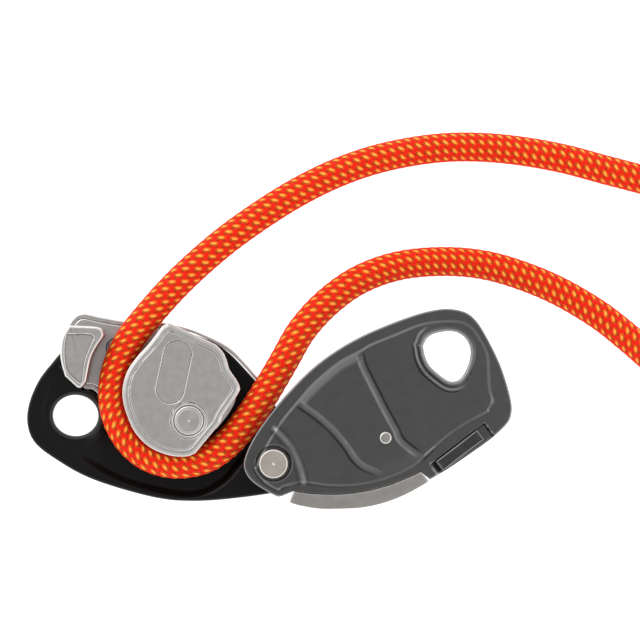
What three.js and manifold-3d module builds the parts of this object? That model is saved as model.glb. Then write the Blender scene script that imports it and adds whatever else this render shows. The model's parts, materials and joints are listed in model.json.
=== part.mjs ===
// Assisted-braking rope descender, lying on its back with its side plate swung open and a rope in its channel.
// Millimetres. +Z is up, towards the side plate. The origin lies on the cam axle's axis, in the resting plane.
import * as THREE from "three";
import { mergeVertices } from "three/addons/utils/BufferGeometryUtils.js";
import Module from "manifold-3d";

const wasm = await Module();
wasm.setup();

// ---- Driving sizes ----
const deviceLength = 92.8; // fixed side plate, eye end to pivot end
const deviceWidth = 62.9; // fixed side plate, lower edge to top edge
const rearDepth = 14; // from the resting plane to the fixed plate's rear face
const plateThickness = 3.5;
const linerThickness = 1.2; // stainless friction plate
const rimHeight = 2.6; // raised lip of the fixed plate
const ropeDiameter = 9.8;
const camFlangeThickness = 1.8;
const sidePlateThickness = 2.2;
const panelRise = 1; // pressed panels of the side plate
const openingAngle = 135.2; // side plate, from closed to the open position at rest

const seatGap = 0.05; // between faces that are pressed together
const runningGap = 0.08; // around shafts, on the radius
const cutGap = 0.3; // where one piece is shaped to clear another

const eyeLength = 15.4; // attachment eye of the fixed plate
const eyeWidth = 13.9;
const eyeCollarWidth = 2.6;
const eyeCollarHeight = 1.2;
const movingEyeWidth = 14.6;
const movingEyeLength = 17;

const camAxleRadius = 4;
const camAxleHeadRadius = camAxleRadius + 1;
const camBushThickness = 1.2;
const pivotRadius = 3.2;
const pivotHeadRadius = 4.8;
const spacerRadius = 6.6;
const linerRivetRadius = 2.5;
const smallRivetRadius = 2;
const drivePinRadius = 1.9;
const drivePinOrbit = 11;

const hubRadius = 15;
const hubThickness = 5.5;
const hingeDistance = 21.5; // lever hinge from the cam axle
const hingeHeight = 3.4;
const hingePinRadius = 1.6;
const hingeKnuckleRadius = 3.2;
const gripThickness = 6.4;
const gripHalfWidth = 6;
const gripReach = 42; // grip's free end beyond the cam axle
const leverAngle = -40.3; // direction from the cam axle to the lever hinge
const knobRadius = 5.1;
const screwRadius = 1.25;
const screwHeadRadius = 2.3;
const sleeveLength = 26;

const linerRivetShankRadius = 1.5;
const smallRivetShankRadius = 1.1;
const pawlPinRadius = 1.1;
const pawlOrbit = 10.6; // the anti-panic pawl's arc round the cam axle
const axleRearHeadRadius = 6;
const pivotRearHeadRadius = 4.4;
const pivotBossRadius = 7;
const bushThickness = 1.2; // side plate bush

// ---- Levels, from the resting plane up ----
const plateBack = rearDepth;
const plateFront = plateBack + plateThickness;
const linerBack = plateFront + seatGap;
const linerFront = linerBack + linerThickness;
const ropeRadius = ropeDiameter / 2;
const ropeLevel = linerFront + cutGap + ropeRadius;
const camCoreBack = linerFront + cutGap;
const camFlangeBack = ropeLevel + ropeRadius + cutGap;
const camFlangeFront = camFlangeBack + camFlangeThickness;
const sidePlateBack = camFlangeFront + 0.5;
const sidePlateFront = sidePlateBack + sidePlateThickness;
const panelFront = sidePlateFront + panelRise;
const hubFront = plateBack - cutGap;
const hubBack = hubFront - hubThickness;

// ---- Plan positions: outlines are drawn at one size of device and stretched to the driving sizes ----
const drawnLength = 92.8;
const drawnWidth = 62.9;
const stretchX = deviceLength / drawnLength;
const stretchY = deviceWidth / drawnWidth;
const plan = (x, y) => [x * stretchX, y * stretchY];
const eyeCentre = plan(-38.5, 1.3);
const movingEyeCentre = plan(-38.4, 0.9);
const pivot = plan(28.2, -14.2);
const linerRivets = [plan(-25.1, 24.1), plan(-23.6, 7.5)];
const smallRivet = plan(-4.2, 5.9);
const knobCentre = plan(18.2, 4.2);
const coverScrews = [plan(14.6, 12.6), plan(31.2, -5.6)];

// ---- Materials ----
const finish = (color, roughness, metalness) => new THREE.MeshStandardMaterial({ color, roughness, metalness });
const blackAlloy = finish(0x1c1c1e, 0.45, 0.6);
const greyAlloy = finish(0x48484a, 0.4, 0.7);
const stainless = finish(0xa5a29f, 0.35, 1);
const wearSteel = finish(0x8c8580, 0.4, 1);
const springSteel = finish(0x77787a, 0.35, 1);
const bronze = finish(0x9c7440, 0.4, 1);
const blackPlastic = finish(0x161617, 0.6, 0);
const whiteNylon = finish(0xd8d6cf, 0.6, 0);
const ropeSheath = finish(0xe13c1e, 0.9, 0);
const sleevePlastic = finish(0x202022, 0.5, 0);

// ---- Solids ----
function toSolid(geometry) {
  const bare = geometry.index ? geometry.toNonIndexed() : geometry.clone();
  bare.deleteAttribute("normal");
  bare.deleteAttribute("uv");
  const merged = mergeVertices(bare, 1e-4);
  return new wasm.Manifold(new wasm.Mesh({
    numProp: 3,
    vertProperties: new Float32Array(merged.attributes.position.array),
    triVerts: new Uint32Array(merged.index.array),
  }));
}

function toGeometry(solid) {
  const mesh = solid.getMesh();
  const geometry = new THREE.BufferGeometry();
  geometry.setAttribute("position", new THREE.BufferAttribute(new Float32Array(mesh.vertProperties), 3));
  geometry.setIndex(new THREE.BufferAttribute(new Uint32Array(mesh.triVerts), 1));
  geometry.computeVertexNormals();
  return geometry;
}

const cut = (solid, ...tools) => tools.reduce((whole, tool) => whole.subtract(tool), solid);
const join = (solid, ...others) => others.reduce((whole, other) => whole.add(other), solid);

function piece(name, solid, material) {
  const mesh = new THREE.Mesh(toGeometry(solid), material);
  mesh.name = name;
  return mesh;
}

// A closed outline from stretches of points: two points are a straight line, more are a smooth curve.
// Each stretch starts where the one before it ends.
function outline(stretches, pointsPerGap = 2) {
  const points = [];
  for (const stretch of stretches) {
    const along = stretch.map(([x, y]) => new THREE.Vector2(...plan(x, y)));
    if (along.length === 2) {
      points.push(along[0]);
      continue;
    }
    const curve = new THREE.SplineCurve(along);
    points.push(...curve.getPoints((along.length - 1) * pointsPerGap).slice(0, -1));
  }
  return new THREE.Shape(points);
}

function slab(shape, low, high) {
  const geometry = new THREE.ExtrudeGeometry(shape, { depth: high - low, bevelEnabled: false, steps: 1 });
  return toSolid(geometry.translate(0, 0, low));
}

// A slab whose outline stands a gap outside the shape.
function grownSlab(shape, gap, low, high) {
  const points = shape.getPoints().map((point) => [point.x, point.y]);
  const grown = wasm.CrossSection.ofPolygons([points], "EvenOdd").offset(gap, "Round", 2, 32);
  return grown.extrude(high - low).translate([0, 0, low]);
}

// A solid of revolution about a vertical axis, from a profile of [radius, height] points that runs upwards.
function turned([x, y], profile, segments = 24) {
  const points = profile.map(([radius, height]) => new THREE.Vector2(radius, height));
  return toSolid(new THREE.LatheGeometry(points, segments).rotateX(Math.PI / 2).translate(x, y, 0));
}

const cylinder = (centre, radius, low, high, segments = 24) =>
  turned(centre, [[0, low], [radius, low], [radius, high], [0, high]], segments);

const tube = (centre, inner, outer, low, high, segments = 24) =>
  turned(centre, [[inner, low], [outer, low], [outer, high], [inner, high], [inner, low]], segments);

function ellipseCylinder([x, y], halfLength, halfWidth, low, high) {
  const shape = new THREE.Shape().absellipse(x, y, halfLength, halfWidth, 0, 2 * Math.PI);
  const geometry = new THREE.ExtrudeGeometry(shape, { depth: high - low, bevelEnabled: false, curveSegments: 32 });
  return toSolid(geometry.translate(0, 0, low));
}

const polar = (radius, degrees) => {
  const angle = THREE.MathUtils.degToRad(degrees);
  return [radius * Math.cos(angle), radius * Math.sin(angle)];
};

// A slot bent round the origin, with round ends.
function arcSlot(orbit, halfWidth, fromDegrees, toDegrees, low, high) {
  const shape = new THREE.Shape();
  const [start, end] = [fromDegrees, toDegrees].map(THREE.MathUtils.degToRad);
  shape.absarc(0, 0, orbit + halfWidth, start, end, false);
  shape.absarc(...polar(orbit, toDegrees), halfWidth, end, end + Math.PI, false);
  shape.absarc(0, 0, orbit - halfWidth, end, start, true);
  shape.absarc(...polar(orbit, fromDegrees), halfWidth, start + Math.PI, start + 2 * Math.PI, false);
  const geometry = new THREE.ExtrudeGeometry(shape, { depth: high - low, bevelEnabled: false, curveSegments: 8 });
  return toSolid(geometry.translate(0, 0, low));
}

// A round bar along a list of points.
function bar(points, radius, sides, steps) {
  const section = new THREE.Shape();
  const corner = (i) => polar(radius, (360 * i) / sides);
  section.moveTo(...corner(0));
  for (let i = 1; i < sides; i++) section.lineTo(...corner(i));
  const path = new THREE.CatmullRomCurve3(points.map((point) => new THREE.Vector3(...point)));
  return toSolid(new THREE.ExtrudeGeometry(section, { steps, extrudePath: path, bevelEnabled: false }));
}

function coil(centre, radius, wireRadius, low, high, turns) {
  const stepsPerTurn = 12;
  const steps = Math.round(turns * stepsPerTurn);
  const points = [];
  for (let i = 0; i <= steps; i++) {
    const [x, y] = polar(radius, (360 * i) / stepsPerTurn);
    points.push([centre[0] + x, centre[1] + y, low + wireRadius + ((high - low - 2 * wireRadius) * i) / steps]);
  }
  return bar(points, wireRadius, 6, steps);
}

// ---- Rope ----
// The route of the rope's centre, from the end of the upper strand round the cam to the end of the lower strand.
// The heights are above the resting plane where the rope has left the device, and ropeLevel inside it.
const restingLevel = ropeRadius + 0.1;
const inside = ropeLevel;
const ropeRoute = [
  [161.4, 78.9, restingLevel], [150.3, 81.8, restingLevel], [140.3, 84.4, restingLevel],
  [126.9, 88, restingLevel], [113.6, 90.5, restingLevel], [100.3, 91.9, restingLevel + 0.4],
  [86.9, 91.9, restingLevel + 1.6], [73.6, 90.2, restingLevel + 3.6], [60.3, 87, restingLevel + 6.2],
  [46.9, 81.9, restingLevel + 9], [33.6, 74.9, restingLevel + 11.8], [20.3, 66.2, restingLevel + 14.6],
  [9, 57.6, inside - 2.2], [-2.8, 46.9, inside - 0.7], [-12.2, 36.7, inside], [-19.8, 27, inside],
  [-24.3, 17.5, inside], [-25.6, 9, inside], [-24.3, 0.8, inside], [-20.2, -6.7, inside],
  [-13.5, -12.3, inside], [-4.4, -14.6, inside], [5.3, -12.8, inside], [13.1, -7.3, inside],
  [19.3, 0, inside], [24.7, 8, inside], [31.2, 19, inside - 0.6], [37.6, 30, inside - 2.2],
  [46.2, 39.4, inside - 4.8], [57, 47, inside - 8], [70.2, 51.7, inside - 12], [85, 53.2, inside - 15.6],
  [99, 52.1, inside - 17.8], [112, 48.5, restingLevel + 0.4], [125, 43, restingLevel],
  [138, 35.3, restingLevel], [148, 27.5, restingLevel], [156.6, 20, restingLevel],
];

const ropeSides = 10;
const ropeSteps = 64;
const ropeTube = (radius, sides, steps) => bar(ropeRoute, radius, sides, steps);
const ropeSpace = ropeTube(ropeRadius + cutGap, ropeSides, ropeSteps);

// A round plastic sleeve beyond one end of the rope, lying level.
function ropeSleeve(end, beforeEnd) {
  const direction = new THREE.Vector3(...end).sub(new THREE.Vector3(...beforeEnd)).setZ(0).normalize();
  const start = new THREE.Vector3(...end).addScaledVector(direction, cutGap);
  const profile = [[0, 0], [ropeRadius, 0], [ropeRadius, sleeveLength - 2], [ropeRadius - 2, sleeveLength],
    [0, sleeveLength]].map(([radius, along]) => new THREE.Vector2(radius, along));
  const turn = new THREE.Quaternion().setFromUnitVectors(new THREE.Vector3(0, 1, 0), direction);
  return toSolid(new THREE.LatheGeometry(profile, 20).applyQuaternion(turn).translate(start.x, start.y, start.z));
}

// ---- Fixed side of the device ----
const fixedPlateOutline = outline([
  [[-42.3, 24], [-45.8, 19.6], [-50.5, 13.5], [-53.8, 6], [-54.6, -1], [-52.3, -7.4], [-45.5, -13], [-32.7, -20],
    [-12.4, -26], [1.9, -27.3], [18.3, -26], [31, -23.8], [36.6, -20.6], [37.8, -15.5], [35.6, -8.4], [28.4, 4.8],
    [22.2, 12.7]],
  [[22.2, 12.7], [12.2, 23], [3.5, 27.7], [-8.3, 31.2]],
  [[-8.3, 31.2], [-22, 31.9]],
  [[-22, 31.9], [-34, 34.4]],
  [[-34, 34.4], [-38.4, 33.4], [-41, 30], [-42.3, 24]],
]);

const rimInside = outline([
  [[-44.6, 30], [-42.6, 22.5], [-46.4, 15.5], [-50, 7.5], [-50.9, 0.8], [-49.2, -5.2], [-44.2, -9.6],
    [-31.2, -16.6], [-20.3, -20.6], [-11.9, -22.6], [1.9, -23.8], [17.5, -22.6], [25.5, -20.9]],
  [[25.5, -20.9], [60, -20]],
  [[60, -20], [60, 60]],
  [[60, 60], [-60, 60]],
  [[-60, 60], [-44.6, 30]],
]);

const linerOutline = outline([
  [[-42.8, 23.5], [-43, 19.2]],
  [[-43, 19.2], [-36, 10.7], [-32.6, 9.8], [-28.8, 6.1], [-22.2, -1.9]],
  [[-22.2, -1.9], [-13.6, 8.2]],
  [[-13.6, 8.2], [-8.2, 32.4]],
  [[-8.2, 32.4], [-21, 33], [-29.6, 34.4], [-35.6, 35.7]],
  [[-35.6, 35.7], [-38, 35], [-40, 33], [-41.6, 29.6], [-42.8, 23.5]],
]);

// The raised block that the rope is pinched against.
const blockOutline = outline([
  [[-39.8, 31.6], [-30.4, 31], [-28.4, 29], [-28.6, 27.6]],
  [[-28.6, 27.6], [-30.4, 25], [-32.4, 21], [-33.4, 16.7], [-34.1, 13]],
  [[-34.1, 13], [-35.7, 11], [-37.1, 11]],
  [[-37.1, 11], [-41.1, 14.7]],
  [[-41.1, 14.7], [-42.4, 19.4], [-42.7, 23.4], [-42, 28], [-39.8, 31.6]],
]);

// The part of the plate that the friction plate covers, out to the plate's edge.
const linerBayOutline = outline([
  [[-43.6, 30], [-43.6, 18.6]],
  [[-43.6, 18.6], [-36.2, 9.9]],
  [[-36.2, 9.9], [-33, 9.6], [-29.2, 6.2], [-22.2, -2.6]],
  [[-22.2, -2.6], [-13, 8]],
  [[-13, 8], [-8, 31.6]],
  [[-8, 31.6], [-21, 42]],
  [[-21, 42], [-43.6, 30]],
]);

function fixedSidePlate() {
  const base = slab(fixedPlateOutline, plateBack, plateFront);
  const rim = cut(slab(fixedPlateOutline, plateFront - 1, plateFront + rimHeight),
    slab(rimInside, plateFront - 2, plateFront + rimHeight + 1));
  const collar = ellipseCylinder(eyeCentre, eyeLength / 2 + eyeCollarWidth, eyeWidth / 2 + eyeCollarWidth,
    plateFront - 1, plateFront + eyeCollarHeight);
  const eye = ellipseCylinder(eyeCentre, eyeLength / 2, eyeWidth / 2, plateBack - 1, plateFront + rimHeight + 1);
  const [bayLow, bayHigh] = [plateFront, plateFront + rimHeight + 1];
  const linerBay = join(slab(linerBayOutline, bayLow, bayHigh), grownSlab(linerOutline, seatGap, bayLow, bayHigh),
    grownSlab(blockOutline, seatGap, bayLow, bayHigh));
  const spacerSpace = cylinder(pivot, spacerRadius + seatGap, bayLow, bayHigh);
  const holes = [
    cylinder([0, 0], camAxleRadius + seatGap, plateBack - 1, plateFront + 1),
    cylinder(pivot, pivotRadius + seatGap, plateBack - 1, plateFront + 1),
    ...linerRivets.map((at) => cylinder(at, linerRivetShankRadius + seatGap, plateBack - 1, plateFront + 1, 20)),
    ...coverScrews.map((at) => cylinder(at, screwRadius + seatGap, plateBack - 1, plateFront + 1, 20)),
    arcSlot(drivePinOrbit, drivePinRadius + 0.4, 142, 162, plateBack - 1, plateFront + 1),
  ];
  return cut(join(base, rim, collar), eye, linerBay, spacerSpace, ...holes);
}

// Sheet under the braking side of the rope, with the raised block that the rope is pinched against and the
// edge strip that guards the top edge of the fixed plate.
function frictionPlate() {
  const floor = slab(linerOutline, linerBack, linerFront);
  const strip = slab(outline([
    [[-9.4, 32.4], [-2, 30.8], [4, 28.7], [12.6, 24.4], [18, 19.3], [22.9, 13.6]],
    [[22.9, 13.6], [22.4, 13]],
    [[22.4, 13], [17.4, 18.6], [12.2, 23.3], [3.6, 28], [-2.2, 30], [-9.4, 31.6]],
    [[-9.4, 31.6], [-9.4, 32.4]],
  ]), linerBack, linerFront + 1.4);
  const block = slab(blockOutline, linerFront - 0.5, sidePlateBack - cutGap);
  const panel = slab(outline([
    [[-40.6, 28.8], [-33, 28.7], [-31.4, 27.5]],
    [[-31.4, 27.5], [-33.2, 23.4], [-34.6, 19.4], [-35.4, 12.6]],
    [[-35.4, 12.6], [-36.2, 12.2], [-40.4, 16.1], [-41.4, 20], [-41.5, 25], [-40.6, 28.8]],
  ]), sidePlateBack - cutGap - 0.5, sidePlateBack);
  const sinks = linerRivets.map((at) => cylinder(at, linerRivetRadius + 0.5, linerBack - 1, linerFront + 1, 24));
  return cut(join(floor, strip, block), panel, ropeSpace, ...sinks);
}

const linerRivet = (at) => turned(at, [
  [0, plateBack - 1.2], [linerRivetRadius, plateBack - 1.2], [linerRivetRadius, plateBack - seatGap],
  [linerRivetShankRadius, plateBack - seatGap], [linerRivetShankRadius, plateFront + seatGap],
  [linerRivetRadius, plateFront + seatGap],
  [linerRivetRadius, linerFront - 0.3], [linerRivetRadius - 0.8, linerFront], [0, linerFront],
], 24);

const camAxle = () => turned([0, 0], [
  [0, hubBack - 1.3], [axleRearHeadRadius, hubBack - 1.3], [axleRearHeadRadius, hubBack - 0.1],
  [camAxleRadius, hubBack - 0.1],
  [camAxleRadius, camFlangeFront - 1], [camAxleHeadRadius, camFlangeFront - 1],
  [camAxleHeadRadius, camFlangeFront - 0.1], [camAxleHeadRadius - 0.4, camFlangeFront + 0.1],
  [0, camFlangeFront + 0.1],
], 40);

const mainPivotAxle = () => turned(pivot, [
  [0, plateBack - 2.2], [pivotRearHeadRadius, plateBack - 2.2], [pivotRearHeadRadius, plateBack - seatGap],
  [pivotRadius, plateBack - seatGap],
  [pivotRadius, panelFront + 0.1], [pivotHeadRadius, panelFront + 0.1], [pivotHeadRadius, panelFront + 1],
  [pivotHeadRadius - 0.5, panelFront + 1.3], [0, panelFront + 1.3],
], 32);

const pivotSpacer = () =>
  tube(pivot, pivotRadius + seatGap, spacerRadius, plateFront + seatGap, sidePlateBack - 0.9);

const pivotWasher = () =>
  tube(pivot, pivotRadius + seatGap, spacerRadius - 0.4, sidePlateBack - 0.85, sidePlateBack - seatGap);

const camWasher = () =>
  tube([0, 0], camAxleRadius + seatGap, camAxleRadius + 3, plateFront + seatGap, camCoreBack - seatGap);

// ---- Cam ----
const camOutline = outline([
  [[-8.9, 31.4], [-13.1, 25.8], [-17.5, 20.9], [-20.4, 16.6], [-21.9, 12], [-22, 7.3], [-20.7, 2.1], [-17.9, -4],
    [-13, -8.9], [-6.6, -11.6], [-1, -12], [2.1, -11]],
  [[2.1, -11], [10.6, -0.8]],
  [[10.6, -0.8], [11.2, 1], [12.3, 2.9]],
  [[12.3, 2.9], [16.4, 8.9], [17, 11], [15.9, 13.5]],
  [[15.9, 13.5], [13.6, 16.8], [12.7, 19.6], [11.4, 22.6], [9, 25.2]],
  [[9, 25.2], [-4.8, 31.7]],
  [[-4.8, 31.7], [-6.8, 32.3], [-8.9, 31.4]],
]);

const camCoreOutline = outline([
  [[-8.3, 28.9], [-11.9, 24.7], [-15.8, 19.8], [-18.3, 15.5], [-19.5, 11.4], [-19.4, 7.6], [-17.7, 2.6],
    [-14.9, -2.4], [-10.9, -6], [-5.8, -8.2], [-1.4, -8.6], [1.6, -7.8]],
  [[1.6, -7.8], [9.4, -2.6]],
  [[9.4, -2.6], [13.6, 3], [15.6, 7.6], [15, 11.6]],
  [[15, 11.6], [11.8, 16.6], [10.8, 20.4], [8, 23.4]],
  [[8, 23.4], [-5.4, 29.6], [-8.3, 28.9]],
]);

const springPocketInner = camAxleRadius + camBushThickness + 0.9;
const springPocketOuter = springPocketInner + 2.4;
const springPocketDepth = 4.6;

function cam() {
  const core = slab(camCoreOutline, camCoreBack, camFlangeBack + 0.5);
  const flange = slab(camOutline, camFlangeBack, camFlangeFront);
  const bore = cylinder([0, 0], camAxleRadius + camBushThickness + seatGap, camCoreBack - 1, camFlangeFront + 1);
  const counterbore = cylinder([0, 0], camAxleHeadRadius + 0.6, camFlangeFront - 1.1, camFlangeFront + 1, 40);
  const pocket = tube([0, 0], springPocketInner, springPocketOuter, camCoreBack - 1,
    camCoreBack + springPocketDepth);
  const pinHole = cylinder(polar(drivePinOrbit, 151), drivePinRadius + seatGap, camCoreBack - 1,
    camCoreBack + 5, 20);
  return cut(join(core, flange), bore, counterbore, pocket, pinHole, ropeSpace, camRecess());
}

// The shallow stadium-shaped recess in the cam's face.
function camRecess() {
  const [top, bottom] = [plan(-3.7, 22), plan(-6.2, 10.2)].map(([x, y]) => new THREE.Vector2(x, y));
  const halfWidth = 4.6;
  const along = Math.atan2(top.y - bottom.y, top.x - bottom.x);
  const shape = new THREE.Shape();
  shape.absarc(top.x, top.y, halfWidth, along - Math.PI / 2, along + Math.PI / 2, false);
  shape.absarc(bottom.x, bottom.y, halfWidth, along + Math.PI / 2, along + 1.5 * Math.PI, false);
  return slab(shape, camFlangeFront - 0.3, camFlangeFront + 1);
}

const camBush = () => tube([0, 0], camAxleRadius + runningGap, camAxleRadius + camBushThickness,
  camCoreBack + 0.1, camFlangeFront - 1.2);

const camDrivePin = () =>
  cylinder(polar(drivePinOrbit, 151), drivePinRadius, hubBack + 1, camCoreBack + 4.9, 20);

const camSpring = () =>
  coil([0, 0], (springPocketInner + springPocketOuter) / 2, 0.45, camCoreBack + 0.2, camCoreBack + 4.3, 3);

// ---- Release lever, behind the fixed plate. Its parts are drawn along +X and turned to the lever's angle. ----
const turnToLever = (solid) => solid.rotate([0, 0, leverAngle]);
const hingeAcross = [hingeDistance, hingeHeight];

// A cylinder whose axis lies across the lever, through the lever hinge.
function acrossHinge(radius, halfLength, segments = 28) {
  const geometry = new THREE.CylinderGeometry(radius, radius, 2 * halfLength, segments);
  return toSolid(geometry.translate(hingeAcross[0], 0, hingeAcross[1]));
}

function block(low, high) {
  const size = high.map((value, i) => value - low[i]);
  const middle = high.map((value, i) => (value + low[i]) / 2);
  return toSolid(new THREE.BoxGeometry(...size).translate(...middle));
}

const earInner = 4.4;
const earOuter = 6.8;

function leverHub() {
  const ears = [1, -1].map((side) => {
    const [from, to] = [side * earInner, side * earOuter].sort((a, b) => a - b);
    return join(block([hingeDistance - 3.8, from, hingeHeight], [hingeDistance + 3.4, to, hubFront]),
      acrossHinge(3.4, earOuter).intersect(block([0, from, -5], [40, to, 20])));
  });
  const disc = cylinder([0, 0], hubRadius, hubBack, hubFront, 40);
  const arm = block([8, -earOuter, hubBack], [hingeDistance + 3.4, earOuter, hubFront]);
  const bore = cylinder([0, 0], camAxleRadius + runningGap, hubBack - 1, hubFront + 1);
  const springPocket = tube([0, 0], 5.4, 8, hubFront - 3, hubFront + 1, 40);
  const pinSlot = arcSlot(drivePinOrbit, drivePinRadius + 0.4, 141 - leverAngle, 234 - leverAngle,
    hubBack - 1, hubFront + 1);
  const pinHole = acrossHinge(hingePinRadius + seatGap, 20);
  return turnToLever(cut(join(disc, arm, ...ears), bore, springPocket, pinSlot, pinHole, pawlPocket()));
}

const pawlPivot = polar(pawlOrbit, 98);
const pawlPocket = () => arcSlot(pawlOrbit, 3.2, 92, 152, hubFront - 2.6, hubFront + 1);

function antiPanicPawl() {
  const finger = arcSlot(pawlOrbit, 1.5, 98, 142, hubFront - 2.4, hubFront - 0.4);
  const eye = cylinder(pawlPivot, 2.3, hubFront - 2.4, hubFront - 0.4, 20);
  const bore = cylinder(pawlPivot, pawlPinRadius + runningGap, hubFront - 4, hubFront + 1, 20);
  return turnToLever(cut(join(finger, eye), bore));
}

const pawlPin = () => turnToLever(cylinder(pawlPivot, pawlPinRadius, hubFront - 2.55, hubFront - 0.3, 20));

const leverSpring = () => coil([0, 0], 6.7, 0.4, hubFront - 2.8, hubFront - 0.2, 2);

const gripHingePin = () => turnToLever(acrossHinge(hingePinRadius, earOuter + 0.4));

// Steel bar of the grip: a knuckle on the hinge pin and a flat bar that runs back inside the handle.
function gripBar() {
  const knuckle = acrossHinge(hingeKnuckleRadius, earInner - 0.2);
  const flat = block([-gripReach + 12, -3, hingeHeight - 1.1], [hingeDistance, 3, hingeHeight + 1.1]);
  return turnToLever(cut(join(knuckle, flat), acrossHinge(hingePinRadius + runningGap, 20)));
}

function grip() {
  const rootEnd = hingeDistance - hingeKnuckleRadius - 1;
  const shape = new THREE.Shape();
  shape.moveTo(rootEnd, -earInner + 0.3);
  shape.lineTo(rootEnd, earInner - 0.3);
  shape.lineTo(rootEnd - 3, gripHalfWidth);
  shape.lineTo(-gripReach + 14, gripHalfWidth - 0.6);
  shape.absarc(-gripReach + gripHalfWidth - 1, 0, gripHalfWidth - 1, Math.PI / 2, 1.5 * Math.PI, false);
  shape.lineTo(-gripReach + 14, -gripHalfWidth + 0.6);
  shape.lineTo(rootEnd - 3, -gripHalfWidth);
  const body = slab(shape, 0, gripThickness);
  const pocket = block([-gripReach + 12 - cutGap, -3 - seatGap, hingeHeight - 1.1 - seatGap],
    [hingeDistance, 3 + seatGap, hingeHeight + 1.1 + seatGap]);
  return turnToLever(cut(body, pocket));
}

// ---- Rear cover with the belay-mode selector ----
const coverOutline = outline([
  [[9.2, 2.7], [34.2, -18.4]],
  [[34.2, -18.4], [35.8, -14.4], [33.9, -8.4], [30.2, -1.8], [26.8, 4.4], [21.4, 11.8]],
  [[21.4, 11.8], [18, 15.2], [13.9, 15.6]],
  [[13.9, 15.6], [9.2, 2.7]],
]);
const knobShaftRadius = 2.6;
const buttonRadius = 1.4;
const knobBack = 0.5;
const knobFront = 4.6;
const knobShaftEnd = 8;
const knobClipRadius = 3.4;

function rearCover() {
  const body = slab(coverOutline, 0, plateBack - seatGap);
  const hubSpace = cylinder([0, 0], hubRadius + 0.4, hubBack - 0.4, plateBack + 1, 40);
  const leverEndSpace = cylinder([0, 0], hingeDistance + 5, hubBack - 0.4, plateBack + 1, 40)
    .intersect(turnToLever(block([0, -30, 0], [40, earOuter + 0.8, 20])));
  const holes = [
    cylinder(knobCentre, knobRadius + 0.35, -1, knobFront + 0.2),
    cylinder(knobCentre, knobShaftRadius + runningGap, -1, plateBack + 1),
    cylinder(knobCentre, knobClipRadius + 0.4, knobShaftEnd - 1.4, plateBack + 1),
    cylinder(pivot, pivotRearHeadRadius + 0.5, plateBack - 2.6, plateBack + 1),
    ...coverScrews.map((at) => cylinder(at, screwRadius + seatGap, -1, plateBack + 1, 20)),
    ...coverScrews.map((at) => cylinder(at, screwHeadRadius + 0.1, -1, 2.2, 24)),
    cylinder(ballCentre, 0.9, knobFront - 0.5, knobFront + 3, 16),
  ];
  return cut(body, hubSpace, leverEndSpace, ...holes);
}

const coverScrew = (at) => cut(turned(at, [
  [0, 0.4], [screwHeadRadius, 0.4], [screwHeadRadius, 2.1], [screwRadius, 2.1], [screwRadius, plateFront - 0.4],
  [0, plateFront - 0.4],
], 24), turned(at, [[0, 0.2], [1, 0.2], [1, 1.4], [0, 1.4]], 6));

function selectorKnob() {
  const body = turned(knobCentre, [
    [0, knobBack], [knobRadius - 0.4, knobBack], [knobRadius, knobBack + 0.4], [knobRadius, knobFront],
    [knobShaftRadius, knobFront], [knobShaftRadius, knobShaftEnd], [0, knobShaftEnd],
  ]);
  const flutes = [];
  for (let i = 0; i < 8; i++) {
    const [x, y] = polar(knobRadius + 0.4, 45 * i);
    flutes.push(cylinder([knobCentre[0] + x, knobCentre[1] + y], 0.8, knobBack - 1, knobFront - 0.8, 8));
  }
  const buttonBore = cylinder(knobCentre, buttonRadius + runningGap, knobBack - 1, knobShaftEnd - 0.6, 16);
  const clipGroove = tube(knobCentre, knobShaftRadius - 0.5, knobClipRadius + 1, knobShaftEnd - 1.3,
    knobShaftEnd - 0.6);
  return cut(body, ...flutes, buttonBore, clipGroove);
}

const knobClip = () =>
  tube(knobCentre, knobShaftRadius - 0.45, knobClipRadius, knobShaftEnd - 1.25, knobShaftEnd - 0.65, 24);
const knobButton = () => cylinder(knobCentre, buttonRadius, knobBack + 0.1, knobFront - 0.4, 16);
const buttonSpring = () => coil(knobCentre, 0.95, 0.22, knobFront - 0.35, knobShaftEnd - 0.65, 3);
const ballCentre = [knobCentre[0], knobCentre[1] + 4.25];
const detentBall = () => toSolid(new THREE.SphereGeometry(0.8, 12, 8).translate(...ballCentre, knobFront + 0.85));
const detentSpring = () => cylinder(ballCentre, 0.7, knobFront + 1.75, knobFront + 2.8, 12);

// ---- Side plate that swings open, drawn closed over the fixed plate and turned open about the pivot ----
// The stretch of the plate's edge that the wear strip is set against, from the pivot end.
const stripSeat = [[30, -3], [26, 2.2], [19.5, 8.9], [12.4, 14.3], [4.8, 18.6], [-4.4, 22.3]];

const sidePlateOutline = outline([
  [[-4.9, 26.2], [-12.4, 28], [-20.5, 29.5], [-28.5, 30.8], [-34.6, 31.1], [-38.5, 30.3], [-42.6, 26.2],
    [-48.2, 15.6], [-51.9, 4.4], [-52.9, -1.8], [-51.6, -6.4], [-46.8, -11.8], [-37, -17.5], [-21, -24],
    [-6.3, -27.2], [7.6, -27.5], [21, -26.1], [30, -23.9], [35.8, -20.6], [37.4, -15], [35.4, -6.4], [33.7, -3.4]],
  [[33.7, -3.4], stripSeat[0]],
  stripSeat,
  [[-4.4, 22.3], [-4.9, 26.2]],
]);

const middlePanelOutline = outline([
  [[10.8, -21.4], [8.3, -16], [7.6, -8], [8.2, -1.3], [9.8, 5.4]],
  [[9.8, 5.4], [7.4, 10.3], [2, 14.3], [-3.4, 16.4]],
  [[-3.4, 16.4], [-7.4, 13.3], [-12.1, -1.8], [-16.8, -16], [-17.2, -20.2]],
  [[-17.2, -20.2], [-10.6, -22.6], [-0.2, -23.6], [10.8, -21.4]],
]);

function movingEye(grow, low, high) {
  const [x, y] = movingEyeCentre;
  return ellipseCylinder([x, y], movingEyeWidth / 2 + grow, movingEyeLength / 2 + grow, low, high);
}

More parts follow.
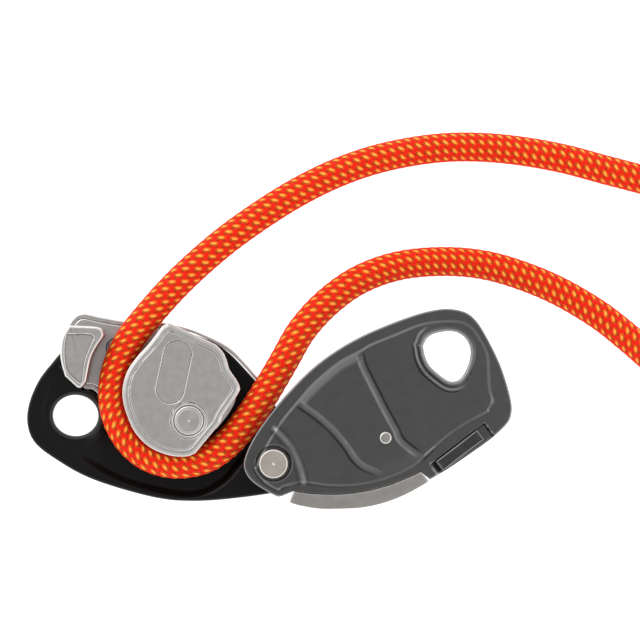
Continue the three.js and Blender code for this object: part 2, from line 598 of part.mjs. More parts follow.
function movingSidePlate() {
  const sheet = slab(sidePlateOutline, sidePlateBack, sidePlateFront);
  const middle = slab(middlePanelOutline, sidePlateFront - 0.5, panelFront);
  const collar = movingEye(1.6, sidePlateFront - 0.5, panelFront);
  const boss = cylinder(pivot, pivotBossRadius, sidePlateFront - 0.5, panelFront);
  const holes = [
    movingEye(0, sidePlateBack - 1, panelFront + 1),
    cylinder(pivot, pivotRadius + bushThickness + seatGap, sidePlateBack - 1, panelFront + 1),
    cylinder(smallRivet, smallRivetShankRadius + seatGap, sidePlateBack - 1, panelFront + 1, 20),
    slab(innerLinerOutline(cutGap), sidePlateBack - 1, sidePlateBack + 0.8),
    slab(edgeGuideOutline(cutGap), sidePlateBack + 0.6, panelFront + 1),
  ];
  return cut(join(sheet, middle, collar, boss), ...holes);
}

const pivotBush = () =>
  tube(pivot, pivotRadius + runningGap, pivotRadius + bushThickness, sidePlateBack + seatGap, panelFront);

const stripInnerEdge = stripSeat.map(([x, y]) => [x + 0.25, y + 0.25]);

const wearStrip = () => slab(outline([
  [stripInnerEdge[0], [33.4, -2.9]],
  [[33.4, -2.9], [33.6, -1.3], [31.5, 2.3], [27.9, 7.2], [22.8, 12.3], [17.8, 16.7], [12, 20.5], [5.5, 23.5],
    [-0.9, 25.5], [-4.4, 26.3]],
  [[-4.4, 26.3], stripInnerEdge.at(-1)],
  stripInnerEdge.toReversed(),
]), sidePlateBack, sidePlateFront + 0.2);

// Dark guide block let into the plate's edge beside the wear strip.
function edgeGuideOutline(grow) {
  const [start, end] = [plan(-27.4, 27.2), plan(-10.2, 25)].map(([x, y]) => new THREE.Vector2(x, y));
  const along = end.clone().sub(start).normalize();
  const across = new THREE.Vector2(-along.y, along.x).multiplyScalar(1.7 + grow);
  start.addScaledVector(along, -grow);
  end.addScaledVector(along, grow);
  return new THREE.Shape([
    start.clone().sub(across), end.clone().sub(across), end.clone().add(across), start.clone().add(across),
  ]);
}
const edgeGuide = () => slab(edgeGuideOutline(0), sidePlateBack + 0.6 + cutGap, sidePlateFront + 0.5);

// Thin stainless sheet let into the plate's inner face, over the cam, and the rivet that holds it.
function innerLinerOutline(grow) {
  const [x, y] = smallRivet;
  const [halfLength, halfWidth] = [9 + grow, 6 + grow];
  const shape = new THREE.Shape();
  shape.absellipse(x, y, halfLength, halfWidth, 0, 2 * Math.PI);
  return shape;
}
const innerLiner = () => cut(slab(innerLinerOutline(0), sidePlateBack + 0.05, sidePlateBack + 0.5),
  cylinder(smallRivet, smallRivetShankRadius + seatGap, sidePlateBack - 1, sidePlateBack + 1, 20));

const linerSmallRivet = () => turned(smallRivet, [
  [0, sidePlateBack + 0.05], [smallRivetShankRadius, sidePlateBack + 0.05],
  [smallRivetShankRadius, panelFront + 0.05], [smallRivetRadius, panelFront + 0.05],
  [smallRivetRadius, panelFront + 0.4],
  [smallRivetRadius - 0.5, panelFront + 0.7], [0, panelFront + 0.7],
], 24);

// ---- Assembly ----
const descender = new THREE.Group();
descender.add(
  piece("fixed_side_plate", fixedSidePlate(), blackAlloy),
  piece("friction_plate", frictionPlate(), stainless),
  piece("friction_plate_rivet_1", linerRivet(linerRivets[0]), wearSteel),
  piece("friction_plate_rivet_2", linerRivet(linerRivets[1]), wearSteel),
  piece("cam_axle", camAxle(), stainless),
  piece("cam_washer", camWasher(), whiteNylon),
  piece("cam_spring", camSpring(), springSteel),
  piece("main_pivot_axle", mainPivotAxle(), wearSteel),
  piece("pivot_spacer", pivotSpacer(), stainless),
  piece("pivot_washer", pivotWasher(), whiteNylon),
  piece("rear_cover", rearCover(), blackPlastic),
  piece("rear_cover_screw_1", coverScrew(coverScrews[0]), stainless),
  piece("rear_cover_screw_2", coverScrew(coverScrews[1]), stainless),
  piece("knob_detent_ball", detentBall(), stainless),
  piece("knob_detent_spring", detentSpring(), springSteel),
  piece("cam", cam(), stainless),
  piece("cam_bush", camBush(), bronze),
  piece("cam_drive_pin", camDrivePin(), stainless),
  piece("lever_hub", leverHub(), greyAlloy),
  piece("lever_return_spring", leverSpring(), springSteel),
  piece("anti_panic_pawl", antiPanicPawl(), stainless),
  piece("pawl_pin", pawlPin(), stainless),
  piece("grip_hinge_pin", gripHingePin(), stainless),
  piece("grip_bar", gripBar(), stainless),
  piece("grip", grip(), blackPlastic),
  piece("selector_knob", selectorKnob(), greyAlloy),
  piece("knob_clip", knobClip(), springSteel),
  piece("knob_lock_button", knobButton(), stainless),
  piece("lock_button_spring", buttonSpring(), springSteel),
  piece("rope", ropeTube(ropeRadius, ropeSides, ropeSteps), ropeSheath),
  piece("rope_end_sleeve_1", ropeSleeve(ropeRoute[0], ropeRoute[1]), sleevePlastic),
  piece("rope_end_sleeve_2", ropeSleeve(ropeRoute.at(-1), ropeRoute.at(-2)), sleevePlastic),
);

const sidePlate = new THREE.Group();
for (const mesh of [
  piece("moving_side_plate", movingSidePlate(), greyAlloy),
  piece("side_plate_bush", pivotBush(), bronze),
  piece("wear_strip", wearStrip(), wearSteel),
  piece("edge_guide", edgeGuide(), greyAlloy),
  piece("inner_liner", innerLiner(), stainless),
  piece("inner_liner_rivet", linerSmallRivet(), wearSteel),
]) {
  mesh.position.set(-pivot[0], -pivot[1], 0);
  sidePlate.add(mesh);
}
sidePlate.position.set(pivot[0], pivot[1], 0);
sidePlate.rotation.z = -THREE.MathUtils.degToRad(openingAngle);
descender.add(sidePlate);

export default descender;
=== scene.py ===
"""A rope descender lying on its back, with its side plate swung open and a rope round its cam.

Sizes are in millimetres, and become metres where a mesh is made. +Z is up, towards the side plate.
"""
import json

import bmesh
import bpy
import numpy as np
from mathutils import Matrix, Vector


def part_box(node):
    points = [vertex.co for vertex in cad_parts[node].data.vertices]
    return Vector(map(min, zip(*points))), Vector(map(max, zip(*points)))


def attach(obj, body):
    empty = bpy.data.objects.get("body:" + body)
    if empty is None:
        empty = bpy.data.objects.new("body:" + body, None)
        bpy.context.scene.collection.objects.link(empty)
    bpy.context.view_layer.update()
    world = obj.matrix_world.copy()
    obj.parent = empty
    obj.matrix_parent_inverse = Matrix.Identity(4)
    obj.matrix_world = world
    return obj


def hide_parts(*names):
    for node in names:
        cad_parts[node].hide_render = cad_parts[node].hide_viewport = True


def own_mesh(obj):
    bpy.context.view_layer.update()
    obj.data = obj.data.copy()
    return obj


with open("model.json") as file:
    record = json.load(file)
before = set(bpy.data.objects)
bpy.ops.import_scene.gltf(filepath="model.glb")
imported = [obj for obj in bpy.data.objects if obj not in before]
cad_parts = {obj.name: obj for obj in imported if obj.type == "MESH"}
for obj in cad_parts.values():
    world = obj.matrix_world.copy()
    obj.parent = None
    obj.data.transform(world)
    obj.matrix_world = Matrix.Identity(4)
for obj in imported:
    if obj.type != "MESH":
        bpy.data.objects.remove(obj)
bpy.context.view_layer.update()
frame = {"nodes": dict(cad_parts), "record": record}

MM = 0.001


def linked(name, data):
    """A new object, in the scene."""
    thing = bpy.data.objects.new(name, data)
    bpy.context.scene.collection.objects.link(thing)
    return thing


# ---- Camera: straight down, from far enough away to be almost free of perspective ----
VIEW_CENTRE = (43.6, 33.4)
VIEW_WIDTH = 213.3
LENS = 200
SENSOR = 36
VIEW_LEVEL = 27  # the height at which the view is exactly VIEW_WIDTH across

camera_data = bpy.data.cameras.new("camera")
camera_data.lens = LENS
camera_data.sensor_width = SENSOR
camera_data.clip_start = 0.05
camera_data.clip_end = 10
camera = linked("camera", camera_data)
camera.location = Vector((*VIEW_CENTRE, VIEW_LEVEL + VIEW_WIDTH * LENS / SENSOR)) * MM
bpy.context.scene.camera = camera


# ---- Where things are, from the frame ----
def lowest(node):
    return np.array(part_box(node)[0]) / MM


def highest(node):
    return np.array(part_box(node)[1]) / MM


def middle(node):
    return (lowest(node) + highest(node)) / 2


def levels(node):
    """The heights of a node's underside and of its top."""
    return lowest(node)[2], highest(node)[2]


BODY_OF = {
    node: body
    for body, nodes in frame["record"]["behaviour"]["bodies"].items()
    for node in nodes
}
SEAT_GAP = 0.05  # between faces that rest on each other
LINER_THICKNESS = 1.2
FLANGE_THICKNESS = 1.8
PANEL_RISE = 1
PLATE_BACK, RIM_TOP = levels("fixed_side_plate")
LINER_BACK, BLOCK_TOP = levels("friction_plate")
PLATE_FRONT = LINER_BACK - SEAT_GAP
LINER_FRONT = LINER_BACK + LINER_THICKNESS
CORE_BACK, CAM_TOP = levels("cam")
FLANGE_BACK = CAM_TOP - FLANGE_THICKNESS
SIDE_BACK, PANEL_FRONT = levels("moving_side_plate")
SIDE_FRONT = PANEL_FRONT - PANEL_RISE
PIVOT = middle("main_pivot_axle")[:2]
OPENING = np.radians(frame["record"]["behaviour"]["joints"][0]["range_deg"][1])
ROPE_DIAMETER = 9.8
ROPE_LEVEL = 23.95  # of its middle, round the cam
RESTING_LEVEL = ROPE_DIAMETER / 2 + 0.1  # of its middle, just clear of the floor


# ---- Lines ----
def curve_through(points, per_gap=24):
    """Catmull-Rom curve: each gap is a cubic whose slope at a point is half the step between its neighbours."""
    p = np.asarray(points, float)
    if len(p) == 2:
        return p
    ends = np.vstack([2 * p[0] - p[1], p, 2 * p[-1] - p[-2]])
    a, b, c, d = ends[:-3], ends[1:-2], ends[2:-1], ends[3:]
    t = np.linspace(0, 1, per_gap, endpoint=False)[:, None, None]
    curve = 0.5 * (2 * b + (c - a) * t + (2 * a - 5 * b + 4 * c - d) * t**2 + (3 * b - a - 3 * c + d) * t**3)
    return np.vstack([curve.transpose(1, 0, 2).reshape(-1, p.shape[1]), p[-1:]])


def resample(line, count, closed=False):
    """Points at equal steps along a line of short straight pieces."""
    line = np.vstack([line, line[:1]]) if closed else line
    along = np.concatenate([[0], np.cumsum(np.linalg.norm(np.diff(line, axis=0), axis=1))])
    at = np.linspace(0, along[-1], count, endpoint=not closed)
    return np.stack([np.interp(at, along, line[:, k]) for k in range(line.shape[1])], 1)


def outline(*stretches, count=480):
    """A closed line, counter-clockwise. Each stretch is a smooth curve, or straight if it has two points."""
    line = resample(np.vstack([curve_through(s)[:-1] for s in stretches]), count, closed=True)
    after = np.roll(line, -1, 0)
    area = np.sum(line[:, 0] * after[:, 1] - after[:, 0] * line[:, 1])
    return line if area > 0 else line[::-1]


def inward(line):
    """Unit normals that point into a counter-clockwise outline, evened out over a few neighbours."""
    run = np.roll(line, -1, 0) - np.roll(line, 1, 0)
    normal = np.stack([-run[:, 1], run[:, 0]], 1)
    for _ in range(2):
        normal = normal + np.roll(normal, 1, 0) + np.roll(normal, -1, 0)
    return normal / np.linalg.norm(normal, axis=1, keepdims=True)


def ellipse(centre, half_length, half_width, towards):
    """Points of an ellipse in the directions in which the points of another outline lie."""
    angle = np.arctan2(*(towards - centre).T[::-1])
    return centre + np.stack([half_length * np.cos(angle), half_width * np.sin(angle)], 1)


def distance(x, y, line, closed=True):
    """Distance of each point from a line, as the least distance from any of its straight pieces."""
    ends = np.roll(line, -1, 0) if closed else line[1:]
    starts = line if closed else line[:-1]
    best = np.full(x.shape, 1e9)
    for (ax, ay), (bx, by) in zip(starts, ends):
        dx, dy = bx - ax, by - ay
        t = np.clip(((x - ax) * dx + (y - ay) * dy) / (dx * dx + dy * dy + 1e-12), 0, 1)
        best = np.minimum(best, (x - ax - t * dx) ** 2 + (y - ay - t * dy) ** 2)
    return np.sqrt(best)


def depth_inside(x, y, line):
    """Distance from an outline, positive inside it. A point is inside if a ray from it crosses the line an odd
    number of times."""
    within = np.zeros(x.shape, bool)
    for (ax, ay), (bx, by) in zip(line, np.roll(line, -1, 0)):
        crosses = (ay > y) != (by > y)
        if crosses.any():
            within ^= crosses & (x < (bx - ax) * (y - ay) / (by - ay + 1e-12) + ax)
    return np.where(within, 1, -1) * distance(x, y, line)


def ease(value, width):
    """0 below 0, 1 above width, and a smooth step between them."""
    t = np.clip(value / width, 0, 1)
    return t * t * (3 - 2 * t)


def bump(value, width):
    """A smooth hump, 1 at 0 and close to 0 beyond width."""
    return np.exp(-((value / (0.6 * width)) ** 2))


# ---- Surfaces: each is (points, quads) in millimetres ----
def quads_of(rows, columns, wrap_rows):
    """The corners of each cell between rows of points. The columns close on themselves, and the rows may."""
    r = np.arange(rows if wrap_rows else rows - 1)[:, None]
    c = np.arange(columns)[None, :]
    r2, c2 = (r + 1) % rows, (c + 1) % columns
    corners = [r * columns + c, r * columns + c2, r2 * columns + c2, r2 * columns + c]
    return np.stack([np.broadcast_to(k, (r.size, c.size)) for k in corners], -1).reshape(-1, 4)


def grid(points, wrap_rows=False):
    rows, columns = points.shape[:2]
    return points.reshape(-1, 3), quads_of(rows, columns, wrap_rows)


def plate(outer, front, back, edge, steps, hole=None, hole_edge=None, centre=None, round_steps=5):
    """A plate with rounded edges. Its front runs straight from the hole's edge, or the centre, to the outer edge, at
    the height front(x, y). Each edge turns through a quarter circle of radius edge, or hole_edge."""
    turn = np.linspace(0, np.pi / 2, round_steps)[1:]
    into = inward(outer)
    rim = outer + edge * into
    if hole is None:
        start = np.broadcast_to(centre, outer.shape)
    else:
        out_of_hole = -inward(hole)
        start = hole + hole_edge * out_of_hole
    level = front if callable(front) else lambda x, y: np.full(x.shape, float(front))
    rows, heights = [], []

    def row(at, height):
        rows.append(at)
        heights.append(np.broadcast_to(height, len(at)))

    share = np.linspace(0, 1, steps)[:, None, None]
    face = (1 - share) * start + share * rim
    face_heights = level(face[..., 0], face[..., 1])
    rows.extend(face)
    heights.extend(face_heights)
    for a in turn:
        row(outer + edge * (1 - np.sin(a)) * into, face_heights[-1] - edge * (1 - np.cos(a)))
    for a in turn - turn[0]:
        row(outer + edge * (1 - np.cos(a)) * into, back + edge * (1 - np.sin(a)))
    row(rim, back)
    for part in (0.66, 0.33):
        row((1 - part) * start + part * rim, back)
    row(start, back)
    if hole is not None:
        for a in turn:
            row(hole + hole_edge * (1 - np.sin(a)) * out_of_hole, back + hole_edge * (1 - np.cos(a)))
        for a in turn - turn[0]:
            row(hole + hole_edge * (1 - np.cos(a)) * out_of_hole, face_heights[0] - hole_edge * (1 - np.sin(a)))
    points = np.concatenate([np.array(rows), np.array(heights)[..., None]], -1)
    return grid(points, wrap_rows=hole is not None)


def rounded(profile, radius, steps=4, closed=False):
    """A profile with each corner replaced by a curve that starts and ends a radius away from it."""
    p = np.asarray(profile, float)
    line = [] if closed else [p[0]]
    for i in range(0 if closed else 1, len(p) if closed else len(p) - 1):
        before, here, after = p[i - 1], p[i], p[(i + 1) % len(p)]
        to_before, to_after = before - here, after - here
        reach = min(radius, 0.45 * np.hypot(*to_before), 0.45 * np.hypot(*to_after))
        a = here + reach * to_before / np.hypot(*to_before)
        b = here + reach * to_after / np.hypot(*to_after)
        t = np.linspace(0, 1, steps)[:, None]
        line.extend((1 - t) ** 2 * a + 2 * t * (1 - t) * here + t**2 * b)
    return np.array(line if closed else [*line, p[-1]])


def turned(centre, profile, radius=0.2):
    """A profile of (radius, height) carried round a vertical axis, with its corners rounded."""
    line = rounded(profile, radius)
    angle = np.linspace(0, 2 * np.pi, 96, endpoint=False)
    x = centre[0] + line[:, :1] * np.cos(angle)
    y = centre[1] + line[:, :1] * np.sin(angle)
    z = np.broadcast_to(line[:, 1:], x.shape)
    return grid(np.stack([x, y, z], -1))


def band(near, far, back, front, edge, crown):
    """A strip between two lines with the same number of points. Its section is a box with rounded corners and a
    slightly crowned front, and shrinks to a point at both ends."""
    width = np.linalg.norm(far - near, axis=1)[:, None, None]
    corner = rounded([[0, 0], [0, 1], [1, 1], [1, 0]], 0.5, steps=5, closed=True)
    across, up = corner[:, 0], corner[:, 1]
    tight = np.stack([np.where(across < 0.5, across, across - 1), np.where(up < 0.5, up, up - 1)], 1) * 2 * edge
    share = np.where(across < 0.5, 0.0, 1.0)[None, :, None] + tight[None, :, :1] / width
    at = near[:, None] + share * (far - near)[:, None]
    z = np.where(up < 0.5, back, front) + tight[:, 1] + crown * np.where(up > 0.6, 1, 0) * 4 * across * (1 - across)
    points = np.concatenate([at, np.broadcast_to(z[None, :, None], (*at.shape[:2], 1))], -1)
    middles = points.mean(1, keepdims=True)
    shrink = np.ones(len(points))
    shrink[[0, -1]] = 0
    shrink[[1, -2]] = 0.85
    points = middles + (points - middles) * shrink[:, None, None]
    points[1], points[-2] = points[1] - middles[1] + middles[0], points[-2] - middles[-2] + middles[-1]
    return grid(points)


def make(name, surfaces, finish, node, sharp=40):
    """One piece from its surfaces: their poles and seams are welded, and its faces are turned outwards."""
    mesh = bpy.data.meshes.new(name)
    points, faces, count = [], [], 0
    for part_points, part_faces in surfaces:
        points.append(part_points * MM)
        faces.append(part_faces + count)
        count += len(part_points)
    mesh.from_pydata(np.concatenate(points).tolist(), [], np.concatenate(faces).tolist())
    form = bmesh.new()
    form.from_mesh(mesh)
    bmesh.ops.remove_doubles(form, verts=form.verts, dist=2e-6)
    bmesh.ops.recalc_face_normals(form, faces=form.faces)
    form.to_mesh(mesh)
    form.free()
    return finished(name, mesh, finish, node, sharp)


# Curvatures, 1/mm, at which the wear and painted highlight of a ridge, and the painted shade of a hollow, start and
# are complete.
WEAR_AND_HIGHLIGHT_FROM, WEAR_AND_HIGHLIGHT_FULLY = 0.12, 0.6
SUNK_FROM, SUNK_FULLY = 0.08, 0.4


def note_ridges_and_hollows(mesh):
    """Stores, from 0 to 1, how much of a ridge each point is, for edge wear and a painted highlight, and how much of a
    hollow, for painted shade. Its curvature is 2 (p - m).n / h^2, where m is the mean of the neighbours and h^2 their
    mean squared distance."""
    count = len(mesh.vertices)
    points, normals = np.empty(count * 3), np.empty(count * 3)
    ends = np.empty(len(mesh.edges) * 2, int)
    mesh.vertices.foreach_get("co", points)
    mesh.vertices.foreach_get("normal", normals)
    mesh.edges.foreach_get("vertices", ends)
    points, normals, ends = points.reshape(-1, 3) / MM, normals.reshape(-1, 3), ends.reshape(-1, 2)
    total, number, square = np.zeros((count, 3)), np.zeros(count), np.zeros(count)
    for here, there in (ends.T, ends.T[::-1]):
        step = points[there] - points[here]
        for k in range(3):
            total[:, k] += np.bincount(here, step[:, k], count)
        number += np.bincount(here, minlength=count)
        square += np.bincount(here, (step**2).sum(1), count)
    curvature = -2 * (total * normals).sum(1) / np.maximum(square, 1e-6)
    wear_and_highlight = (curvature - WEAR_AND_HIGHLIGHT_FROM) / (WEAR_AND_HIGHLIGHT_FULLY - WEAR_AND_HIGHLIGHT_FROM)
    sunk = (-curvature - SUNK_FROM) / (SUNK_FULLY - SUNK_FROM)
    for name, share in (("wear_and_highlight", wear_and_highlight), ("sunk", sunk)):
        mesh.attributes.new(name, "FLOAT", "POINT").data.foreach_set("value", np.clip(share, 0, 1))


def shown(name, mesh, finish, node):
    """The mesh as a smooth piece that stands for a CAD node and rides on its body."""
    mesh.shade_smooth()
    mesh.materials.clear()
    mesh.materials.append(finish)
    piece = linked(name, mesh)
    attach(piece, BODY_OF[node])
    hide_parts(node)
    return piece


def finished(name, mesh, finish, node, sharp):
    """A piece with its ridges and hollows noted, for wear, painted highlights and painted shade. Edges that bend by
    more than sharp, in degrees, aren't smoothed.
    """
    note_ridges_and_hollows(mesh)
    piece = shown(name, mesh, finish, node)
    mesh.set_sharp_from_angle(angle=np.radians(sharp))
    return piece


def opened(surface):
    """A surface drawn on the closed side plate, turned about the pivot to where the plate stands open."""
    points, quads = surface
    c, s = np.cos(-OPENING), np.sin(-OPENING)
    x, y = (points[:, :2] - PIVOT).T
    turned_points = np.stack([PIVOT[0] + c * x - s * y, PIVOT[1] + s * x + c * y, points[:, 2]], 1)
    return turned_points, quads


def eased(node, finish, width):
    """A copy of a functional part: its triangles are joined, its flat faces made whole, and its edges rounded."""
    mesh = frame["nodes"][node].data.copy()
    mesh.name = node + "_eased"
    form = bmesh.new()
    form.from_mesh(mesh)
    bmesh.ops.remove_doubles(form, verts=form.verts, dist=2e-6)
    bmesh.ops.dissolve_limit(form, angle_limit=np.radians(1.5), verts=form.verts, edges=form.edges)
    form.to_mesh(mesh)
    form.free()
    piece = shown(node + "_eased", mesh, finish, node)
    bevel = piece.modifiers.new("rounded edges", "BEVEL")
    bevel.width = width * MM
    bevel.segments = 3
    bevel.limit_method = "ANGLE"
    bevel.angle_limit = np.radians(35)
    bevel.use_clamp_overlap = True
    bevel.harden_normals = True


# ---- Finishes ----
class Term:
    """A shader socket that takes part in sums. An expression on it adds the Math nodes it needs."""

    def __init__(self, finish, socket):
        self.finish, self.socket = finish, socket

    def maths(self, operation, *values):
        return self.finish.add("ShaderNodeMath", {"operation": operation}, dict(enumerate(values)))

    def __add__(self, other):
        return self.maths("ADD", self, other)

    def __sub__(self, other):
        return self.maths("SUBTRACT", self, other)

    def __rsub__(self, other):
        return self.maths("SUBTRACT", other, self)

    def __mul__(self, other):
        return self.maths("MULTIPLY", self, other)

    def __truediv__(self, other):
        return self.maths("DIVIDE", self, other)

    __radd__, __rmul__ = __add__, __mul__

    def clamped(self):
        return self.maths("MINIMUM", self.maths("MAXIMUM", self, 0.0), 1.0)

    def ramp(self, low, high):
        """0 at low, 1 at high."""
        return ((self - low) / (high - low)).clamped()


class Finish:
    """One material. add() makes any node: its settings are set first, then its sockets' values or links."""

    def __init__(self, name, **fixed):
        self.material = bpy.data.materials.new(name)
        self.material.use_nodes = True
        self.nodes, self.links = self.material.node_tree.nodes, self.material.node_tree.links
        self.nodes.clear()
        self.shader = self.nodes.new("ShaderNodeBsdfPrincipled")
        out = self.nodes.new("ShaderNodeOutputMaterial")
        self.links.new(self.shader.outputs[0], out.inputs["Surface"])
        self.set(**fixed)

    def set(self, **sockets):
        """Sets or links sockets of the shader. An underscore stands for a space in a socket's name."""
        for name, value in sockets.items():
            self.plug(self.shader.inputs[name.replace("_", " ")], value)

    def plug(self, socket, value):
        if isinstance(value, Term):
            self.links.new(value.socket, socket)
        else:
            socket.default_value = value

    def add(self, kind, settings=None, sockets=None, output=0):
        node = self.nodes.new(kind)
        for name, value in (settings or {}).items():
            setattr(node, name, value)
        for name, value in (sockets or {}).items():
            self.plug(node.inputs[name], value)
        return Term(self, node.outputs[output])

    def place(self, centre=(0, 0, 0)):
        """Object coordinates, counted from a point given in millimetres."""
        here = self.add("ShaderNodeTexCoord", output="Object")
        return self.add("ShaderNodeMapping", sockets={"Vector": here, "Location": tuple(-MM * k for k in centre)})

    def noise(self, scale, detail=3):
        return self.add("ShaderNodeTexNoise", sockets={
            "Vector": self.place(), "Scale": scale, "Detail": detail, "Roughness": 0.55})

    def wave(self, value):
        return self.add("ShaderNodeMath", {"operation": "SINE"}, {0: value})

    def mix(self, factor, first, second):
        return self.add("ShaderNodeMix", {"data_type": "RGBA"}, {0: factor, 6: first, 7: second}, output=2)

    def stored(self, name):
        """A number kept at each point of the mesh; 0 where the mesh has none."""
        return self.add("ShaderNodeAttribute", {"attribute_name": name}, output="Fac")

    def relief(self, height, depth_mm, strength=1.0):
        normal = self.add("ShaderNodeBump", sockets={
            "Height": height, "Distance": depth_mm * MM, "Strength": strength})
        self.set(Normal=normal)


def grey(value, warmth=0.0):
    """A grey with a little red added and blue taken away."""
    return (value * (1 + warmth), value, value * (1 - warmth), 1)


def tumbled_steel(name, light, warmth, roughness):
    """Satin stainless steel: faint clouds a few millimetres across, a very fine grain, ridges painted lighter as
    polish and as a painted highlight, and hollows darkened as painted shade."""
    finish = Finish(name, Metallic=1.0)
    wear_and_highlight, sunk = finish.stored("wear_and_highlight"), finish.stored("sunk")
    clouds = finish.noise(420, detail=4).ramp(0.3, 0.7)
    grain = finish.noise(5200, detail=2)
    body = finish.mix(clouds, grey(light * 0.94, warmth), grey(light * 1.05, warmth))
    # Ridges are painted lighter, partly as polish wear and partly as a painted highlight; hollows are darkened with
    # painted shade.
    rubbed_and_highlit = finish.mix(wear_and_highlight * 0.7, body, grey(light * 1.35, warmth))
    finish.set(Base_Color=finish.mix(sunk, rubbed_and_highlit, grey(light * 0.3, warmth)),
               Roughness=roughness - 0.03 + 0.04 * clouds + 0.05 * grain)
    finish.relief(grain + 0.3 * clouds, 0.012)
    return finish.material


def turned_steel(name, centre, light, warmth=0.02):
    """A face cut on a lathe: fine rings about its own axis, which draw the light out into cones."""
    finish = Finish(name, Metallic=1.0, Anisotropic=0.5)
    at = finish.place(centre)
    flat = finish.add("ShaderNodeVectorMath", {"operation": "MULTIPLY"}, {0: at, 1: (1, 1, 0)})
    radius = finish.add("ShaderNodeVectorMath", {"operation": "LENGTH"}, {0: flat}, output="Value")
    rings = finish.wave(radius * 26000.0) * 0.5 + 0.5
    clouds = finish.noise(700)
    finish.set(Base_Color=finish.mix(clouds, grey(light * 0.88, warmth), grey(light * 1.05, warmth)),
               Roughness=0.24 + 0.1 * rings + 0.08 * clouds)
    finish.relief(rings, 0.004)
    return finish.material


def coated_alloy(name, light, wear_and_highlight_grey, roughness, metallic, shine=0.5):
    """Forged alloy under a hard satin coat, with a faint orange peel, a polish along its ridges that is also painted
    lighter as a highlight, and hollows darkened as painted shade.
    """
    finish = Finish(name, Specular_IOR_Level=shine)
    wear_and_highlight, sunk = finish.stored("wear_and_highlight"), finish.stored("sunk")
    clouds = finish.noise(260, detail=4)
    peel = finish.noise(2600, detail=2)
    # Ridges are painted lighter, as rubbed coat and as a painted highlight, and hollows darkened with painted shade;
    # the ridges are also made less rough.
    rubbed_and_highlit = (wear_and_highlight * (0.55 + 0.9 * clouds)).clamped()
    body = finish.mix(clouds, grey(light * 0.92), grey(light * 1.08))
    lit = finish.mix(rubbed_and_highlit, body, grey(wear_and_highlight_grey))
    finish.set(Base_Color=finish.mix(sunk, lit, grey(light * 0.25)), Metallic=metallic,
               Roughness=roughness + 0.1 * clouds - 0.08 * rubbed_and_highlit)
    finish.relief(peel, 0.02, 0.6)
    return finish.material


def moulded_plastic(name, colour, roughness=0.5):
    """Moulded plastic with a fine spark-eroded texture."""
    finish = Finish(name)
    cells = finish.add("ShaderNodeTexVoronoi", sockets={"Vector": finish.place(), "Scale": 2400.0}, output="Distance")
    clouds = finish.noise(300)
    darker = tuple(0.8 * k for k in colour[:3]) + (1,)
    finish.set(Base_Color=finish.mix(clouds, darker, colour), Roughness=roughness + 0.12 * clouds)
    finish.relief(cells, 0.03, 0.7)
    return finish.material


# ---- The rope's sheath: two sets of yarns that cross, in floats lying in staggered columns round the rope ----
FLOAT_COLUMNS = 10
FLOAT_PITCH = 3.1  # along the rope
COLUMN_GAP = np.pi * ROPE_DIAMETER / FLOAT_COLUMNS
FLOAT_LEAN = np.radians(-44)  # of a float, from the rope's axis
FLOAT_HALF_LENGTH = 1.95
FLOAT_HALF_WIDTH = 0.95
YELLOW_HALF_LENGTH = 1.0
YELLOW_HALF_WIDTH = 0.46
PAINTED_SHADOW_HALF_LENGTH = 1.45  # of the painted brown shadow that lies next to each yellow yarn
PAINTED_SHADOW_HALF_WIDTH = 0.62
PAINTED_SHADOW_SHIFT = (0.25, 0.3)
FIBRES = 21.0  # radians per millimetre across a float
GAP_DEPTH, FLOAT_RISE = 0.3, 0.36
ROPE_RINGS = 1300
POINTS_ROUND_ROPE = 66


def float_axes(along, around, shift, lean):
    """Distances s along and t across the nearest float of one set, which leans from the rope's axis, and the height
    1 - (s/half length)^2 - (t/half width)^2, which is 0 at its edge. It works on shader terms and on arrays."""
    def off_nearest(value):
        return value - (value.maths("ROUND", value) if isinstance(value, Term) else np.round(value))

    du = off_nearest(along / FLOAT_PITCH + shift) * FLOAT_PITCH
    dv = off_nearest(around / COLUMN_GAP + shift) * COLUMN_GAP
    s = du * np.cos(lean) + dv * np.sin(lean)
    t = dv * np.cos(lean) - du * np.sin(lean)
    return s, t, 1 - (s * s) / FLOAT_HALF_LENGTH**2 - (t * t) / FLOAT_HALF_WIDTH**2


